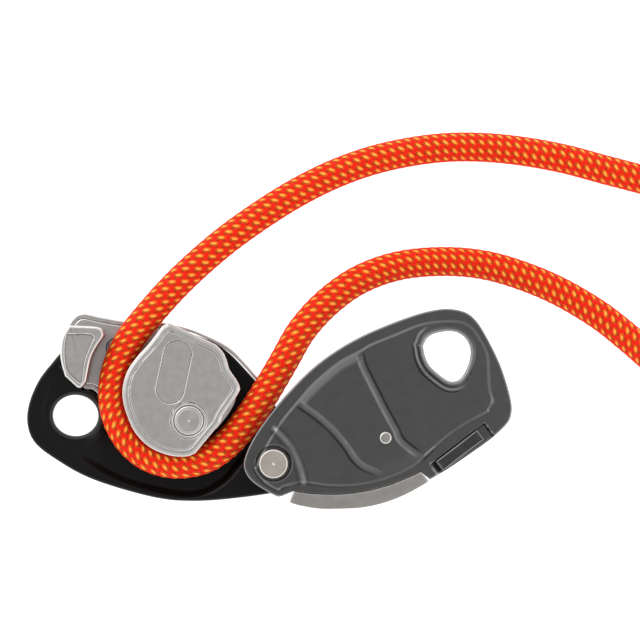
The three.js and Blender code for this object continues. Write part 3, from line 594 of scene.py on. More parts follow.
def rope_sheath():
    """Each float is a leaning ellipse. Half of them show a yellow yarn at their crown with a painted brown shadow next
    to it, and the gaps are dark."""
    finish = Finish("braided_sheath", Specular_IOR_Level=0.12)
    uv = finish.add("ShaderNodeUVMap", {"uv_map": "braid"})
    parts = finish.add("ShaderNodeSeparateXYZ", sockets={0: uv})
    along, around = parts, Term(finish, parts.socket.node.outputs[1])
    wander = finish.noise(900, detail=2) - 0.5
    s1, t1, first = float_axes(along, around, 0.0, FLOAT_LEAN)
    _, t2, second = float_axes(along, around, 0.5, -FLOAT_LEAN)
    over = first.maths("MAXIMUM", first, second)
    fibres = (finish.wave(t1 * FIBRES) + finish.wave(t2 * FIBRES)) * 0.25 + 0.5
    core = 1 - (s1 * s1) / YELLOW_HALF_LENGTH**2 - (t1 * t1) / YELLOW_HALF_WIDTH**2 + 0.9 * wander
    # The brown next to each yellow yarn is a painted shadow, set off to one side of it.
    s3, t3 = s1 - PAINTED_SHADOW_SHIFT[0], t1 - PAINTED_SHADOW_SHIFT[1]
    beside = 1 - (s3 * s3) / PAINTED_SHADOW_HALF_LENGTH**2 - (t3 * t3) / PAINTED_SHADOW_HALF_WIDTH**2
    orange = finish.mix(finish.noise(260).ramp(0.35, 0.65), (0.8, 0.05, 0.002, 1), (0.88, 0.1, 0.003, 1))
    crimson = finish.mix(fibres, (0.66, 0.006, 0.002, 1), (0.82, 0.022, 0.004, 1))
    yarn = finish.mix((second - first + 0.2 * wander).ramp(-0.05, 0.1), orange, crimson)
    gaps = finish.mix(over.ramp(-0.35, 0.4), (0.3, 0.02, 0.003, 1), yarn)
    with_painted_shadow = finish.mix(beside.ramp(0.0, 0.35), gaps, (0.42, 0.075, 0.004, 1))
    yellow = finish.mix(fibres, (0.95, 0.32, 0.03, 1), (1.0, 0.42, 0.08, 1))
    finish.set(Base_Color=finish.mix(core.ramp(0.0, 0.3), with_painted_shadow, yellow), Roughness=0.6 + 0.15 * fibres)
    finish.relief(fibres + wander, 0.05, 0.8)
    return finish.material


def route_of_rope():
    """From the end of the upper strand, round the cam, to the end of the lower strand."""
    low, inside = RESTING_LEVEL, ROPE_LEVEL
    return [
        (161.4, 78.9, low), (150.3, 81.8, low), (140.3, 84.4, low), (126.9, 88, low), (113.6, 90.5, low),
        (100.3, 91.9, low + 0.4), (86.9, 91.9, low + 1.6), (73.6, 90.2, low + 3.6), (60.3, 87, low + 6.2),
        (46.9, 81.9, low + 9), (33.6, 74.9, low + 11.8), (20.3, 66.2, low + 14.6), (9, 57.6, inside - 2.2),
        (-2.8, 46.9, inside - 0.7), (-12.2, 36.7, inside), (-19.8, 27, inside), (-24.3, 17.5, inside),
        (-25.6, 9, inside), (-24.3, 0.8, inside), (-20.2, -6.7, inside), (-13.5, -12.3, inside),
        (-4.4, -14.6, inside), (5.3, -12.8, inside), (13.1, -7.3, inside), (19.3, 0, inside), (24.7, 8, inside),
        (31.2, 19, inside - 0.6), (37.6, 30, inside - 2.2), (46.2, 39.4, inside - 4.8), (57, 47, inside - 8),
        (70.2, 51.7, inside - 12), (85, 53.2, inside - 15.6), (99, 52.1, inside - 17.8), (112, 48.5, low + 0.4),
        (125, 43, low), (138, 35.3, low), (148, 27.5, low), (156.6, 20, low),
    ]


def braided_rope():
    """A tube along the route. Its radius is least in the gaps and greatest at the crown of each float, and follows
    the square root of the floats' height."""
    fine = curve_through(route_of_rope(), per_gap=40)
    length = np.linalg.norm(np.diff(fine, axis=0), axis=1).sum()
    line = resample(fine, ROPE_RINGS)
    along = np.linspace(0, length, len(line))[:, None]
    run = np.gradient(line, axis=0)
    run /= np.linalg.norm(run, axis=1, keepdims=True)
    side = np.cross(run, (0, 0, 1))
    side /= np.linalg.norm(side, axis=1, keepdims=True)
    up = np.cross(side, run)
    turn = np.linspace(0, 1, POINTS_ROUND_ROPE, endpoint=False)[None, :]
    around = turn * np.pi * ROPE_DIAMETER
    first, second = (float_axes(along, around, *kind)[2] for kind in ((0, FLOAT_LEAN), (0.5, -FLOAT_LEAN)))
    height = np.maximum(first, second)
    radius = ROPE_DIAMETER / 2 - GAP_DEPTH + FLOAT_RISE * np.sqrt(np.clip(height + 0.25, 0, 1.25))
    angle = 2 * np.pi * turn[..., None]
    points = line[:, None] + radius[..., None] * (np.cos(angle) * side[:, None] + np.sin(angle) * up[:, None])
    rings, columns = points.shape[:2]
    quads = quads_of(rings, columns, False)[:, ::-1]
    ends = [list(range(columns))[::-1], list(range((rings - 1) * columns, rings * columns))]
    mesh = bpy.data.meshes.new("braided_rope")
    mesh.from_pydata((points.reshape(-1, 3) * MM).tolist(), [], quads.tolist() + ends)
    ring, column = np.divmod(quads, columns)
    column = np.where(column < quads[:, -1:] % columns, column + columns, column)
    u = np.append(along[ring, 0].ravel(), np.repeat([0, length], columns))
    v = np.append(column.ravel() / columns * np.pi * ROPE_DIAMETER, np.zeros(2 * columns))
    mesh.uv_layers.new(name="braid").data.foreach_set("uv", np.stack([u, v], 1).ravel())
    return finished("braided_rope", mesh, rope_sheath(), "rope", 180), line, length


SLEEVE = moulded_plastic("shrunk_sleeve_plastic", (0.018, 0.018, 0.02, 1), roughness=0.38)
SLEEVE_LENGTH = 26
SLEEVE_GAP = 0.3  # from the rope's cut end


def end_sleeve(number, end, before_end):
    """A heat-shrunk plastic sleeve: a profile turned about the rope's own line, with low rings where it has shrunk
    over the sheath."""
    run = (end - before_end) * (1, 1, 0)
    run /= np.linalg.norm(run)
    side, up = np.cross(run, (0, 0, 1)), np.array([0, 0, 1.0])
    radius, near, far = ROPE_DIAMETER / 2, SLEEVE_GAP, SLEEVE_GAP + SLEEVE_LENGTH
    profile = rounded([[0, near], [radius, near], [radius, far - 1.9], [radius - 2.2, far], [0, far]], 0.9)
    fine = resample(profile, 160)
    wave = 0.05 * np.sin(fine[:, 1] * 2.6) * ease(fine[:, 0] - 4.4, 0.4)
    reach = fine[:, 0] + wave - 0.05
    reach[[0, -1]] = 0
    angle = np.linspace(0, 2 * np.pi, 72, endpoint=False)[None, :, None]
    points = end + fine[:, 1:, None] * run + reach[:, None, None] * (np.cos(angle) * side + np.sin(angle) * up)
    return make(f"shrunk_sleeve_{number}", [grid(points)], SLEEVE, f"rope_end_sleeve_{number}")


rope, rope_line, rope_length = braided_rope()
sleeves = [end_sleeve(1, rope_line[0], rope_line[4]), end_sleeve(2, rope_line[-1], rope_line[-5])]
tuple(rope_line[0] * MM)
rope_length * MM
[tuple(p * MM) for p in rope_line[::10]]


# ---- Finishes of this device ----
STAINLESS = tumbled_steel("tumbled_stainless", light=0.5, warmth=0.03, roughness=0.36)
STRIP_STEEL = tumbled_steel("wear_strip_steel", light=0.37, warmth=0.05, roughness=0.36)
RIVET_STEEL = tumbled_steel("rivet_steel", light=0.42, warmth=0.04, roughness=0.3)
SPRING_STEEL = tumbled_steel("spring_steel", light=0.2, warmth=0.0, roughness=0.28)
BRONZE = tumbled_steel("bearing_bronze", light=0.3, warmth=0.35, roughness=0.35)
AXLE_FACE = turned_steel("turned_cam_axle", (0, 0, 0), light=0.56)
PIVOT_FACE = turned_steel("turned_pivot", (*PIVOT, 0), light=0.56, warmth=0.09)
BLACK_ALLOY = coated_alloy(
    "black_coated_alloy", light=0.006, wear_and_highlight_grey=0.04, roughness=0.38, metallic=0.35, shine=0.19)
GREY_ALLOY = coated_alloy("grey_anodised_alloy", light=0.094, wear_and_highlight_grey=0.26, roughness=0.34, metallic=0.88)
GUIDE_ALLOY = coated_alloy("dark_guide_alloy", light=0.045, wear_and_highlight_grey=0.16, roughness=0.38, metallic=0.7)
BLACK_PLASTIC = moulded_plastic("black_plastic", (0.016, 0.016, 0.017, 1))
NYLON = moulded_plastic("natural_nylon", (0.66, 0.64, 0.58, 1), roughness=0.45)


# ---- Fixed side of the device ----
FIXED_EYE = np.array([-38.5, 1.3])
EYE_HALF_LENGTH, EYE_HALF_WIDTH = 7.7, 6.95
COLLAR_RISE = 2.1


def fixed_plate():
    """Between the eye and the outer edge. Its front is a dish with a raised lip along the outer edge, a low collar
    round the eye, and a flat bay under the friction plate."""
    outer = outline(
        [[-42.3, 24], [-45.8, 19.6], [-50.5, 13.5], [-53.8, 6], [-54.6, -1], [-52.3, -7.4], [-45.5, -13], [-32.7, -20],
         [-12.4, -26], [1.9, -27.3], [18.3, -26], [31, -23.8], [36.6, -20.6], [37.8, -15.5], [35.6, -8.4],
         [28.4, 4.8], [22.2, 12.7]],
        [[22.2, 12.7], [12.2, 23], [3.5, 27.7], [-8.3, 31.2]],
        [[-8.3, 31.2], [-22, 31.9]], [[-22, 31.9], [-34, 34.4]],
        [[-34, 34.4], [-38.4, 33.4], [-41, 30], [-42.3, 24]])
    dish = outline(
        [[-44.6, 24], [-45.6, 16.6], [-48.4, 10], [-49.5, 1.5], [-47.6, -4.6], [-44.1, -7.8], [-36.7, -13.2],
         [-27.4, -18.7], [-18.2, -22.4], [-7.5, -25.0], [0, -25.8], [6, -24.6], [12.4, -20.6], [17, -15.2],
         [22, -10]],
        [[22, -10], [60, -6]], [[60, -6], [60, 60]], [[60, 60], [-60, 60]], [[-60, 60], [-60, 34]],
        [[-60, 34], [-44.6, 24]])
    bay = outline([[-43.6, 30], [-43.6, 18.6]], [[-43.6, 18.6], [-36.2, 9.9]],
                  [[-36.2, 9.9], [-33, 9.6], [-29.2, 6.2], [-22.2, -2.6]], [[-22.2, -2.6], [-13, 8]],
                  [[-13, 8], [-8, 31.6]], [[-8, 31.6], [-21, 42]], [[-21, 42], [-43.6, 30]], count=160)
    eye = ellipse(FIXED_EYE, EYE_HALF_LENGTH, EYE_HALF_WIDTH, outer)
    lip = RIM_TOP - PLATE_FRONT

    def front(x, y):
        across = np.hypot((x - FIXED_EYE[0]) / EYE_HALF_LENGTH, (y - FIXED_EYE[1]) / EYE_HALF_WIDTH)
        from_eye = (across - 1) * (EYE_HALF_LENGTH + EYE_HALF_WIDTH) / 2
        deep = 0.2 + 0.8 * ease(x + 41, 15)
        height = PLATE_FRONT + lip * (1 - deep * ease(depth_inside(x, y, dish) + 0.6, 2.6))
        height = height + (PLATE_FRONT + COLLAR_RISE - height) * (1 - ease(from_eye - 1.0, 3.4))
        return height + (PLATE_FRONT - height) * ease(depth_inside(x, y, bay) + 0.3, 0.6)

    surface = plate(outer, front, PLATE_BACK, edge=0.8, hole=eye, hole_edge=1.0, steps=130)
    return make("fixed_plate", [surface], BLACK_ALLOY, "fixed_side_plate", sharp=50)


LINER_RIVETS = [middle(f"friction_plate_rivet_{k}")[:2] for k in (1, 2)]
RIVET_WELL_RADIUS = 2.9
BLOCK_PANEL_SINK = 0.5
GUARD_RISE = 1.3  # of the strip along the top edge, above the sheet


def friction_plate():
    """The sheet with a well round each rivet, its raised block with a sunk panel, and the strip that guards the fixed
    plate's top edge."""
    sheet = outline(
        [[-42.8, 23.5], [-43, 19.2]], [[-43, 19.2], [-36, 10.7], [-32.6, 9.8], [-28.8, 6.1], [-22.2, -1.9]],
        [[-22.2, -1.9], [-13.6, 8.2]], [[-13.6, 8.2], [-8.2, 32.4]],
        [[-8.2, 32.4], [-21, 33], [-29.6, 34.4], [-35.6, 35.7]],
        [[-35.6, 35.7], [-38, 35], [-40, 33], [-41.6, 29.6], [-42.8, 23.5]])

    def sheet_front(x, y):
        height = LINER_FRONT - 0.25 * bump(depth_inside(x, y, sheet) - 1.7, 0.35)
        for cx, cy in LINER_RIVETS:
            height = height - (1 - ease(np.hypot(x - cx, y - cy) - RIVET_WELL_RADIUS, 0.25))
        return height

    block = outline(
        [[-39.8, 31.6], [-30.4, 31], [-28.4, 29], [-28.6, 27.6], [-30.4, 25], [-32.4, 21], [-33.4, 16.7],
         [-34.1, 13]], [[-34.1, 13], [-35.7, 11], [-37.1, 11]], [[-37.1, 11], [-41.1, 14.7]],
        [[-41.1, 14.7], [-42.4, 19.4], [-42.7, 23.4], [-42, 28], [-39.8, 31.6]], count=300)
    panel = outline(
        [[-40.6, 28.8], [-33, 28.7], [-31.4, 27.5]], [[-31.4, 27.5], [-33.2, 23.4], [-34.6, 19.4], [-35.4, 12.9]],
        [[-35.4, 12.9], [-36.2, 12.4], [-40.2, 16.1], [-41.2, 20], [-41.3, 25], [-40.6, 28.8]], count=200)

    def block_front(x, y):
        return BLOCK_TOP - BLOCK_PANEL_SINK * ease(depth_inside(x, y, panel) + 0.15, 0.45)

    far = resample(curve_through([[-9.4, 32.5], [-2, 30.9], [4, 28.8], [12.6, 24.5], [18, 19.4], [22.9, 13.7]]), 90)
    near = resample(curve_through([[-9.4, 31.6], [-2.2, 30], [3.6, 28], [12.2, 23.3], [17.4, 18.6], [22.3, 13]]), 90)
    surfaces = [
        plate(sheet, sheet_front, LINER_BACK, edge=0.5, centre=np.array([-27, 20]), steps=90),
        plate(block, block_front, LINER_FRONT - 0.3, edge=0.75, centre=np.array([-37, 22]), steps=50),
        band(near, far, LINER_BACK, LINER_FRONT + GUARD_RISE, edge=0.3, crown=0.1),
    ]
    return make("friction_plate_and_block", surfaces, STAINLESS, "friction_plate")


def liner_rivet(number):
    x, y = LINER_RIVETS[number - 1]
    back = PLATE_BACK - 1.2
    seat = PLATE_BACK - SEAT_GAP
    profile = [[0, back], [2.5, back], [2.5, seat], [1.5, seat], [1.5, LINER_BACK], [2.5, LINER_BACK],
               [2.5, LINER_FRONT - 0.2], [1.9, LINER_FRONT], [0, LINER_FRONT]]
    return make(f"liner_rivet_{number}", [turned((x, y), profile)], RIVET_STEEL, f"friction_plate_rivet_{number}")


def cam_axle():
    """A turned pin with a flat head, a narrow chamfer and the small pit of a lathe centre."""
    back, front = levels("cam_axle")
    profile = [[0, back], [6, back], [6, back + 1.2], [4, back + 1.2], [4, front - 1.1], [4.95, front - 1.1],
               [4.95, front - 0.45], [4.45, front - 0.05], [4.1, front - 0.05], [3.95, front - 0.2], [3.8, front],
               [0.35, front], [0, front - 0.25]]
    return make("cam_axle_pin", [turned((0, 0), profile, 0.1)], AXLE_FACE, "cam_axle", 30)


def pivot_axle():
    back, front = levels("main_pivot_axle")
    seat, head = PLATE_BACK - SEAT_GAP, PANEL_FRONT + 2 * SEAT_GAP
    profile = [[0, back], [4.4, back], [4.4, seat], [3.2, seat], [3.2, head], [4.8, head],
               [4.8, front - 0.4], [4.4, front], [0.4, front], [0, front - 0.3]]
    return make("pivot_pin", [turned(PIVOT, profile, 0.15)], PIVOT_FACE, "main_pivot_axle", 30)


# ---- Cam ----
CAM_BORE = 5.1  # radius
RECESS_ENDS = np.array([[-6.2, 10.2], [-3.7, 22.0]])
RECESS_RADIUS = 4.6
GROOVE_DEPTH = 2.3  # of the hollow that the rope runs in
GROOVE_HALF_HEIGHT = 4.75


def cam():
    """A flange over the rope and a core with a hollow side that the rope runs in. The flange's front is flat inside a
    rounded rim, with a fine line set in from the rim and a shallow blank recess with round ends."""
    flange = outline(
        [[-8.9, 31.4], [-13.1, 25.8], [-17.5, 20.9], [-20.4, 16.6], [-21.9, 12], [-22, 7.3], [-20.7, 2.1],
         [-17.9, -4], [-13, -8.9], [-6.6, -11.6], [-1, -12], [2.1, -11]],
        [[2.1, -11], [10.6, -0.8]], [[10.6, -0.8], [11.2, 1], [12.3, 2.9]],
        [[12.3, 2.9], [16.4, 8.9], [17, 11], [15.9, 13.5]],
        [[15.9, 13.5], [13.6, 16.8], [12.7, 19.6], [11.4, 22.6], [9, 25.2]], [[9, 25.2], [-4.8, 31.7]],
        [[-4.8, 31.7], [-6.8, 32.3], [-8.9, 31.4]])
    core = outline(
        [[-8.4, 28.3], [-11.9, 24.3], [-15.8, 19.8], [-18.3, 15.5], [-19.5, 11.4], [-19.4, 7.6], [-17.7, 2.6],
         [-14.9, -2.4], [-10.9, -6], [-5.8, -8.2], [-1.4, -8.6], [1.6, -7.8]],
        [[1.6, -7.8], [9.4, -2.6]], [[9.4, -2.6], [13.6, 3], [15.6, 7.6], [15, 11.6]],
        [[15, 11.6], [11.8, 16.6], [10.6, 20.2], [7.6, 22.9]], [[7.6, 22.9], [-5.6, 28.8], [-8.4, 28.3]], count=300)
    axis = np.zeros(2)

    def front(x, y):
        inside = depth_inside(x, y, flange)
        rim = 0.38 * (1 - ease(inside, 1.7)) ** 1.5
        height = CAM_TOP - rim - 0.15 * bump(inside - 2.3, 0.34)
        recess = distance(x, y, RECESS_ENDS, closed=False) - RECESS_RADIUS
        height = height - 0.12 * (1 - ease(recess + 0.4, 0.5)) - 0.16 * bump(recess, 0.34)
        return height - 0.1 * bump(np.hypot(x, y) - 6.1, 0.3)

    bore = ellipse(axis, CAM_BORE, CAM_BORE, flange)
    surfaces = [plate(flange, front, FLANGE_BACK, edge=0.5, hole=bore, hole_edge=0.35, steps=120, round_steps=4)]

    level = np.linspace(CORE_BACK, FLANGE_BACK + 0.4, 28)
    hollow = GROOVE_DEPTH * np.sqrt(np.clip(1 - ((level - ROPE_LEVEL) / GROOVE_HALF_HEIGHT) ** 2, 0, 1))
    wall = core + hollow[:, None, None] * inward(core)
    wall = np.concatenate([wall, np.broadcast_to(level[:, None, None], (*wall.shape[:2], 1))], -1)
    inner = ellipse(axis, CAM_BORE + 0.2, CAM_BORE + 0.2, core)
    inner = np.concatenate([inner, np.zeros((len(core), 1))], -1)
    lower, upper = inner + (0, 0, level[0]), inner + (0, 0, level[-1])
    surfaces.append(grid(np.concatenate([lower[None], wall, upper[None]]), wrap_rows=True))
    return make("cam_flange_and_core", surfaces, STAINLESS, "cam", 35)


# ---- Side plate, drawn closed and then opened ----
MOVING_EYE = [[-34.4, -6.9], [-37.2, -7.8], [-40.1, -7.1], [-43.7, -4.6], [-45.7, -1.9], [-46.2, 1.2], [-45.4, 4],
              [-43.8, 6], [-41, 7.9], [-37.6, 9.2], [-34.9, 9.4], [-33, 8.3], [-32, 6.5], [-31.4, 2.7],
              [-31.4, -0.9], [-32.5, -4.1], [-34.4, -6.9]]
STRIP_SEAT = [[30, -3], [26, 2.2], [19.5, 8.9], [12.4, 14.3], [4.8, 18.6], [-4.4, 22.3]]
GUIDE_ENDS = np.array([[-27.4, 27.2], [-10.2, 25]])
GUIDE_LENGTH = np.linalg.norm(GUIDE_ENDS[1] - GUIDE_ENDS[0])
GUIDE_RUN = (GUIDE_ENDS[1] - GUIDE_ENDS[0]) / GUIDE_LENGTH
FLANGE_DROP, FIELD_RISE = 0.55, 0.5  # the outer flange below SIDE_FRONT, and the field inside it above the flange
RIB_RISE, RIB_WIDTH = 0.5, 1.9
PIVOT_SINK, PIVOT_SINK_RADIUS = 0.3, 5.6
EYE_LIP, EYE_COLLAR = 0.35, 0.5
POCKET_FLOOR = 0.6  # left under the edge guide


def side_plate():
    """Between the eye and the outer edge. The front has a low flange all round, a raised panel across its middle, a
    narrow rib, a sunk ring round the pivot, a collar on the pivot's side of the eye, and the edge guide's pocket."""
    outer = outline(
        [[-4.9, 26.2], [-12.4, 28], [-20.5, 29.5], [-28.5, 30.8], [-34.6, 31.1], [-38.5, 30.3], [-42.6, 26.2],
         [-48.2, 15.6], [-51.9, 4.4], [-52.9, -1.8], [-51.6, -6.4], [-46.8, -11.8], [-37, -17.5], [-21, -24],
         [-6.3, -27.2], [7.6, -27.5], [21, -26.1], [30, -23.9], [35.8, -20.6], [37.4, -15], [35.4, -6.4],
         [34, -4.6]],
        [[34, -4.6], STRIP_SEAT[0]], STRIP_SEAT, [[-4.4, 22.3], [-4.9, 26.2]], count=560)
    field = outline(
        [[-35.6, 23.6], [-38.6, 22.4], [-41.2, 18], [-47.5, 10.8], [-49.8, 4.7], [-50.3, -1.5], [-47, -6.6],
         [-39.6, -12.5], [-30.4, -16.5], [-22.4, -19.8], [-17.9, -20.9], [-10.6, -23], [-0.2, -23.9], [8.7, -23.4],
         [17.2, -22.5], [25.7, -20.5], [32.7, -18.2], [34.4, -17], [35.1, -12], [33.7, -6.8], [31.5, -6.1]],
        [[31.5, -6.1], [26.3, -2.9], [20.4, 4.4], [13.6, 10.8], [5.5, 15.9], [-2.7, 19], [-9.3, 19.9],
         [-18.3, 20.3], [-26.3, 21.7], [-33.9, 23.9], [-35.6, 23.6]], count=240)
    panel = outline(
        [[11.1, -30], [9.2, -21.1], [8.2, -15.4], [7.7, -8.3], [8.3, -1.3], [9.2, 3.4], [8.9, 7.6], [7, 14],
         [5, 30]],
        [[5, 30], [-12, 30]],
        [[-12, 30], [-8.4, 12.4], [-9.8, 6.2], [-12.1, -1.8], [-14.9, -10.3], [-16.8, -16], [-19.4, -21],
         [-20.6, -30]], [[-20.6, -30], [11.1, -30]], count=220)
    rib = curve_through([[19.8, -21.8], [20, -15.8], [21.4, -10.7], [23.5, -6.2], [25.4, -2.9]], 6)
    eye_line = resample(curve_through(MOVING_EYE), 120, closed=True)
    eye_centre = eye_line.mean(0)
    angle = np.arctan2(*(outer - eye_centre).T[::-1])
    eye_angle = np.arctan2(*(eye_line - eye_centre).T[::-1])
    order = np.argsort(eye_angle)
    eye = np.stack([np.interp(angle, eye_angle[order], eye_line[order, k], period=2 * np.pi) for k in (0, 1)], 1)

    def front(x, y):
        within_field = depth_inside(x, y, field)
        height = SIDE_FRONT - FLANGE_DROP + FIELD_RISE * ease(within_field + 0.2, 1.2)
        slope = 4 + 2.5 * ease(y + 12, 14)  # the panel's end slopes more gently on the wear strip's side
        raised = ease(depth_inside(x, y, panel) + 0.3, 2.8) * ease(within_field + 0.4, slope)
        height = height + (PANEL_FRONT - height) * raised
        height = height + RIB_RISE * bump(distance(x, y, rib, closed=False), RIB_WIDTH)
        from_pivot = np.hypot(x - PIVOT[0], y - PIVOT[1])
        height = height - PIVOT_SINK * (1 - ease(from_pivot - PIVOT_SINK_RADIUS, 0.7))
        from_eye = np.abs(depth_inside(x, y, eye_line))
        around = np.arctan2(y - eye_centre[1], x - eye_centre[0])
        pivot_side = ease(np.cos(around + 0.25) + 0.15, 0.55)
        lip = EYE_LIP * (1 - ease(from_eye - 0.5, 1.4))
        height = height + lip + EYE_COLLAR * pivot_side * (1 - ease(from_eye - 2.3, 1.3))
        dx, dy = x - GUIDE_ENDS[0][0], y - GUIDE_ENDS[0][1]
        along, across = dx * GUIDE_RUN[0] + dy * GUIDE_RUN[1], dy * GUIDE_RUN[0] - dx * GUIDE_RUN[1]
        pocket = ease(along + 3.3, 0.4) * (1 - ease(along - GUIDE_LENGTH - 0.3, 2.2)) * ease(across + 2.3, 0.4)
        return height + (SIDE_BACK + POCKET_FLOOR - height) * pocket

    surface = plate(outer, front, SIDE_BACK, edge=0.6, hole=eye, hole_edge=0.9, steps=170)
    return make("side_plate_forging", [opened(surface)], GREY_ALLOY, "moving_side_plate", 50)


def wear_strip():
    """A steel strip let into the edge, between its seat and the curve of its outer edge."""
    near = resample(curve_through(np.array(STRIP_SEAT) + 0.03), 160)
    far = resample(curve_through([[33.6, -1.3], [31.5, 2.3], [27.9, 7.2], [22.8, 12.3], [17.8, 16.7], [12, 20.5],
                                  [5.5, 23.5], [-0.9, 25.5], [-4.4, 26.3]]), 160)
    surface = band(near, far, SIDE_BACK, SIDE_FRONT + 0.1, edge=0.2, crown=0.05)
    return make("wear_strip_steel", [opened(surface)], STRIP_STEEL, "wear_strip")


def edge_guide():
    """A dark block with a rounded top, let into the pocket beside the wear strip."""
    start, end = GUIDE_ENDS
    across = np.array([-GUIDE_RUN[1], GUIDE_RUN[0]])
    low, high = -1.85 * across, 2.1 * across
    shape = outline([start + low, end + low], [end + low, end + high], [end + high, start + high],
                    [start + high, start + low], count=200)
    back, top = levels("edge_guide")
    surface = plate(shape, top, back, edge=0.5, centre=(start + end) / 2, steps=16)
    return make("guide_block", [opened(surface)], GUIDE_ALLOY, "edge_guide")


def panel_rivet():
    centre = middle("inner_liner_rivet")[:2]
    front = levels("inner_liner_rivet")[1]
    foot, seat = SIDE_BACK + SEAT_GAP, PANEL_FRONT + SEAT_GAP
    profile = [[0, foot], [1.1, foot], [1.1, seat], [2, seat], [2, front - 0.3], [1.6, front], [0, front]]
    return make("panel_rivet", [turned(centre, profile, 0.15)], RIVET_STEEL, "inner_liner_rivet")


fixed_plate()
friction_plate()
liner_rivet(1)
liner_rivet(2)
cam_axle()
pivot_axle()
cam()
side_plate()
wear_strip()
edge_guide()
panel_rivet()

# ---- Lever, behind the fixed plate ----
LEVER_ANGLE = np.radians(-40.3)
GRIP_THICKNESS = 6.4
GRIP_POWER = 3.4
FINGER_PITCH, FINGER_DEPTH = 8, 0.55
FINGER_FROM, FINGER_TO = -33, -9


def lever_grip():
    """A moulded handle along the lever. Its sections are |y/w|^p + |z/h|^p = 1. Its half width w narrows to a round
    tip, and its outer face has three finger grooves, each a shallow whole wave of a cosine."""
    shape = curve_through([[-42, 0.5], [-41.4, 2.6], [-39.4, 4.5], [-36.2, 5.3], [-30, 5.5], [-20, 5.2], [-8, 5.5],
                           [4, 6], [12, 6], [15.4, 5.3], [17.3, 4.1]])
    along = np.linspace(-42, 17.3, 200)
    half_width = np.interp(along, shape[:, 0], shape[:, 1])
    half_height = (GRIP_THICKNESS / 2 - 0.1) * ease(along + 43.6, 5.5) ** 0.5
    angle = np.linspace(0, 2 * np.pi, 72, endpoint=False)
    side, top = np.cos(angle), np.sin(angle)
    across = half_width[:, None] * np.sign(side) * np.abs(side) ** (2 / GRIP_POWER)
    up = half_height[:, None] * np.sign(top) * np.abs(top) ** (2 / GRIP_POWER)
    wave = 0.5 - 0.5 * np.cos(2 * np.pi * (along - FINGER_FROM) / FINGER_PITCH)
    groove = FINGER_DEPTH * np.where((along > FINGER_FROM) & (along < FINGER_TO), wave, 0)
    height = GRIP_THICKNESS / 2 + up + groove[:, None] * ease(-top[None, :], 0.8)
    c, s = np.cos(LEVER_ANGLE), np.sin(LEVER_ANGLE)
    points = np.stack([along[:, None] * c - across * s, along[:, None] * s + across * c, height], -1)
    ends = [np.broadcast_to(points[k].mean(0), points[0].shape)[None] for k in (0, -1)]
    surface = grid(np.concatenate([ends[0], points, ends[1]]))
    return make("moulded_grip", [surface], BLACK_PLASTIC, "grip", 50)


lever_grip()

# Parts that keep their own shapes, with rounded edges.
for node, finish, slot, width in (
        ("lever_hub", GREY_ALLOY, "grey_alloy", 0.4), ("rear_cover", BLACK_PLASTIC, "black_plastic", 0.6),
        ("grip_bar", STAINLESS, "stainless", 0.3),
        ("selector_knob", GREY_ALLOY, "grey_alloy", 0.25), ("anti_panic_pawl", STAINLESS, "stainless", 0.2),
        ("rear_cover_screw_1", STAINLESS, "stainless", 0.15), ("rear_cover_screw_2", STAINLESS, "stainless", 0.15),
        ("pivot_spacer", STAINLESS, "stainless", 0.3), ("grip_hinge_pin", STAINLESS, "stainless", 0.3)):
    eased(node, finish, width)


def button_spring():
    """The lock button's spring."""
    mesh = frame["nodes"]["lock_button_spring"].data.copy()
    piece = finished("button_coil", mesh, SPRING_STEEL, "lock_button_spring", 60)
    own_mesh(piece)


button_spring()

# Parts that keep their own shapes as they are.
for node, finish in (
        ("cam_washer", NYLON), ("pivot_washer", NYLON), ("cam_spring", SPRING_STEEL), ("cam_bush", BRONZE),
        ("lever_return_spring", SPRING_STEEL), ("knob_detent_spring", SPRING_STEEL),
        ("knob_clip", SPRING_STEEL), ("knob_detent_ball", STAINLESS),
        ("knob_lock_button", STAINLESS), ("cam_drive_pin", STAINLESS), ("pawl_pin", STAINLESS),
        ("side_plate_bush", BRONZE), ("inner_liner", STAINLESS)):
    mesh = frame["nodes"][node].data
    mesh.materials.clear()
    mesh.materials.append(finish)


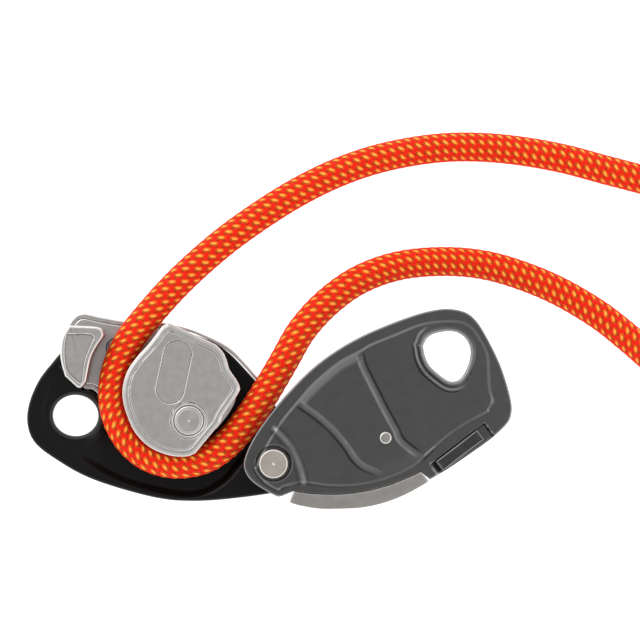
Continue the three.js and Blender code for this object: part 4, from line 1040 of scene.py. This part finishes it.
# ---- Floor and light ----
HORIZON_LIGHT, OVERHEAD_LIGHT = 1.55, 0.52
HORIZON_UP_TO, OVERHEAD_FROM = 0.4, 0.97  # sines of the height above the horizon
LIT_POINT = (0.03, 0.02, 0.02)


def floor():
    """A pale floor that glows a little, as a light table does, so that shadows on it stay faint."""
    finish = Finish("pale_floor", Base_Color=(0.6, 0.6, 0.6, 1), Roughness=0.9, Specular_IOR_Level=0.1)
    finish.set(Emission_Color=(1, 1, 1, 1), Emission_Strength=0.8)
    mesh = bpy.data.meshes.new("floor")
    mesh.from_pydata([(-3, -3, 0), (3, -3, 0), (3, 3, 0), (-3, 3, 0)], [], [(0, 1, 2, 3)])
    mesh.materials.append(finish.material)
    linked("floor", mesh)


def softbox(name, place, size, power):
    """A square light that faces the device. Its place and size are in metres, and its power in watts."""
    data = bpy.data.lights.new(name, "AREA")
    data.shape = "RECTANGLE"
    data.size = data.size_y = size
    data.energy = power
    light = linked(name, data)
    light.location = place
    light.rotation_euler = (Vector(LIT_POINT) - Vector(place)).to_track_quat("-Z", "Y").to_euler()


def sky():
    """Dim overhead and bright towards the horizon, so that flat faces stay calm and rounded edges catch light."""
    world = bpy.data.worlds.new("studio")
    world.use_nodes = True
    bpy.context.scene.world = world
    nodes, links = world.node_tree.nodes, world.node_tree.links
    background = nodes["Background"]
    background.inputs["Color"].default_value = (1, 1, 1, 1)
    here = nodes.new("ShaderNodeTexCoord")
    parts = nodes.new("ShaderNodeSeparateXYZ")
    shade = nodes.new("ShaderNodeMapRange")
    shade.interpolation_type = "SMOOTHSTEP"
    for name, value in (("From Min", HORIZON_UP_TO), ("From Max", OVERHEAD_FROM),
                        ("To Min", HORIZON_LIGHT), ("To Max", OVERHEAD_LIGHT)):
        shade.inputs[name].default_value = value
    links.new(here.outputs["Generated"], parts.inputs[0])
    links.new(parts.outputs["Z"], shade.inputs["Value"])
    links.new(shade.outputs["Result"], background.inputs["Strength"])


floor()
sky()
softbox("key", (-0.7, 0.75, 0.7), size=1.2, power=6)
softbox("fill", (0.42, -0.05, 0.5), size=0.3, power=0.4)
bpy.context.scene.view_settings.view_transform = "Standard"
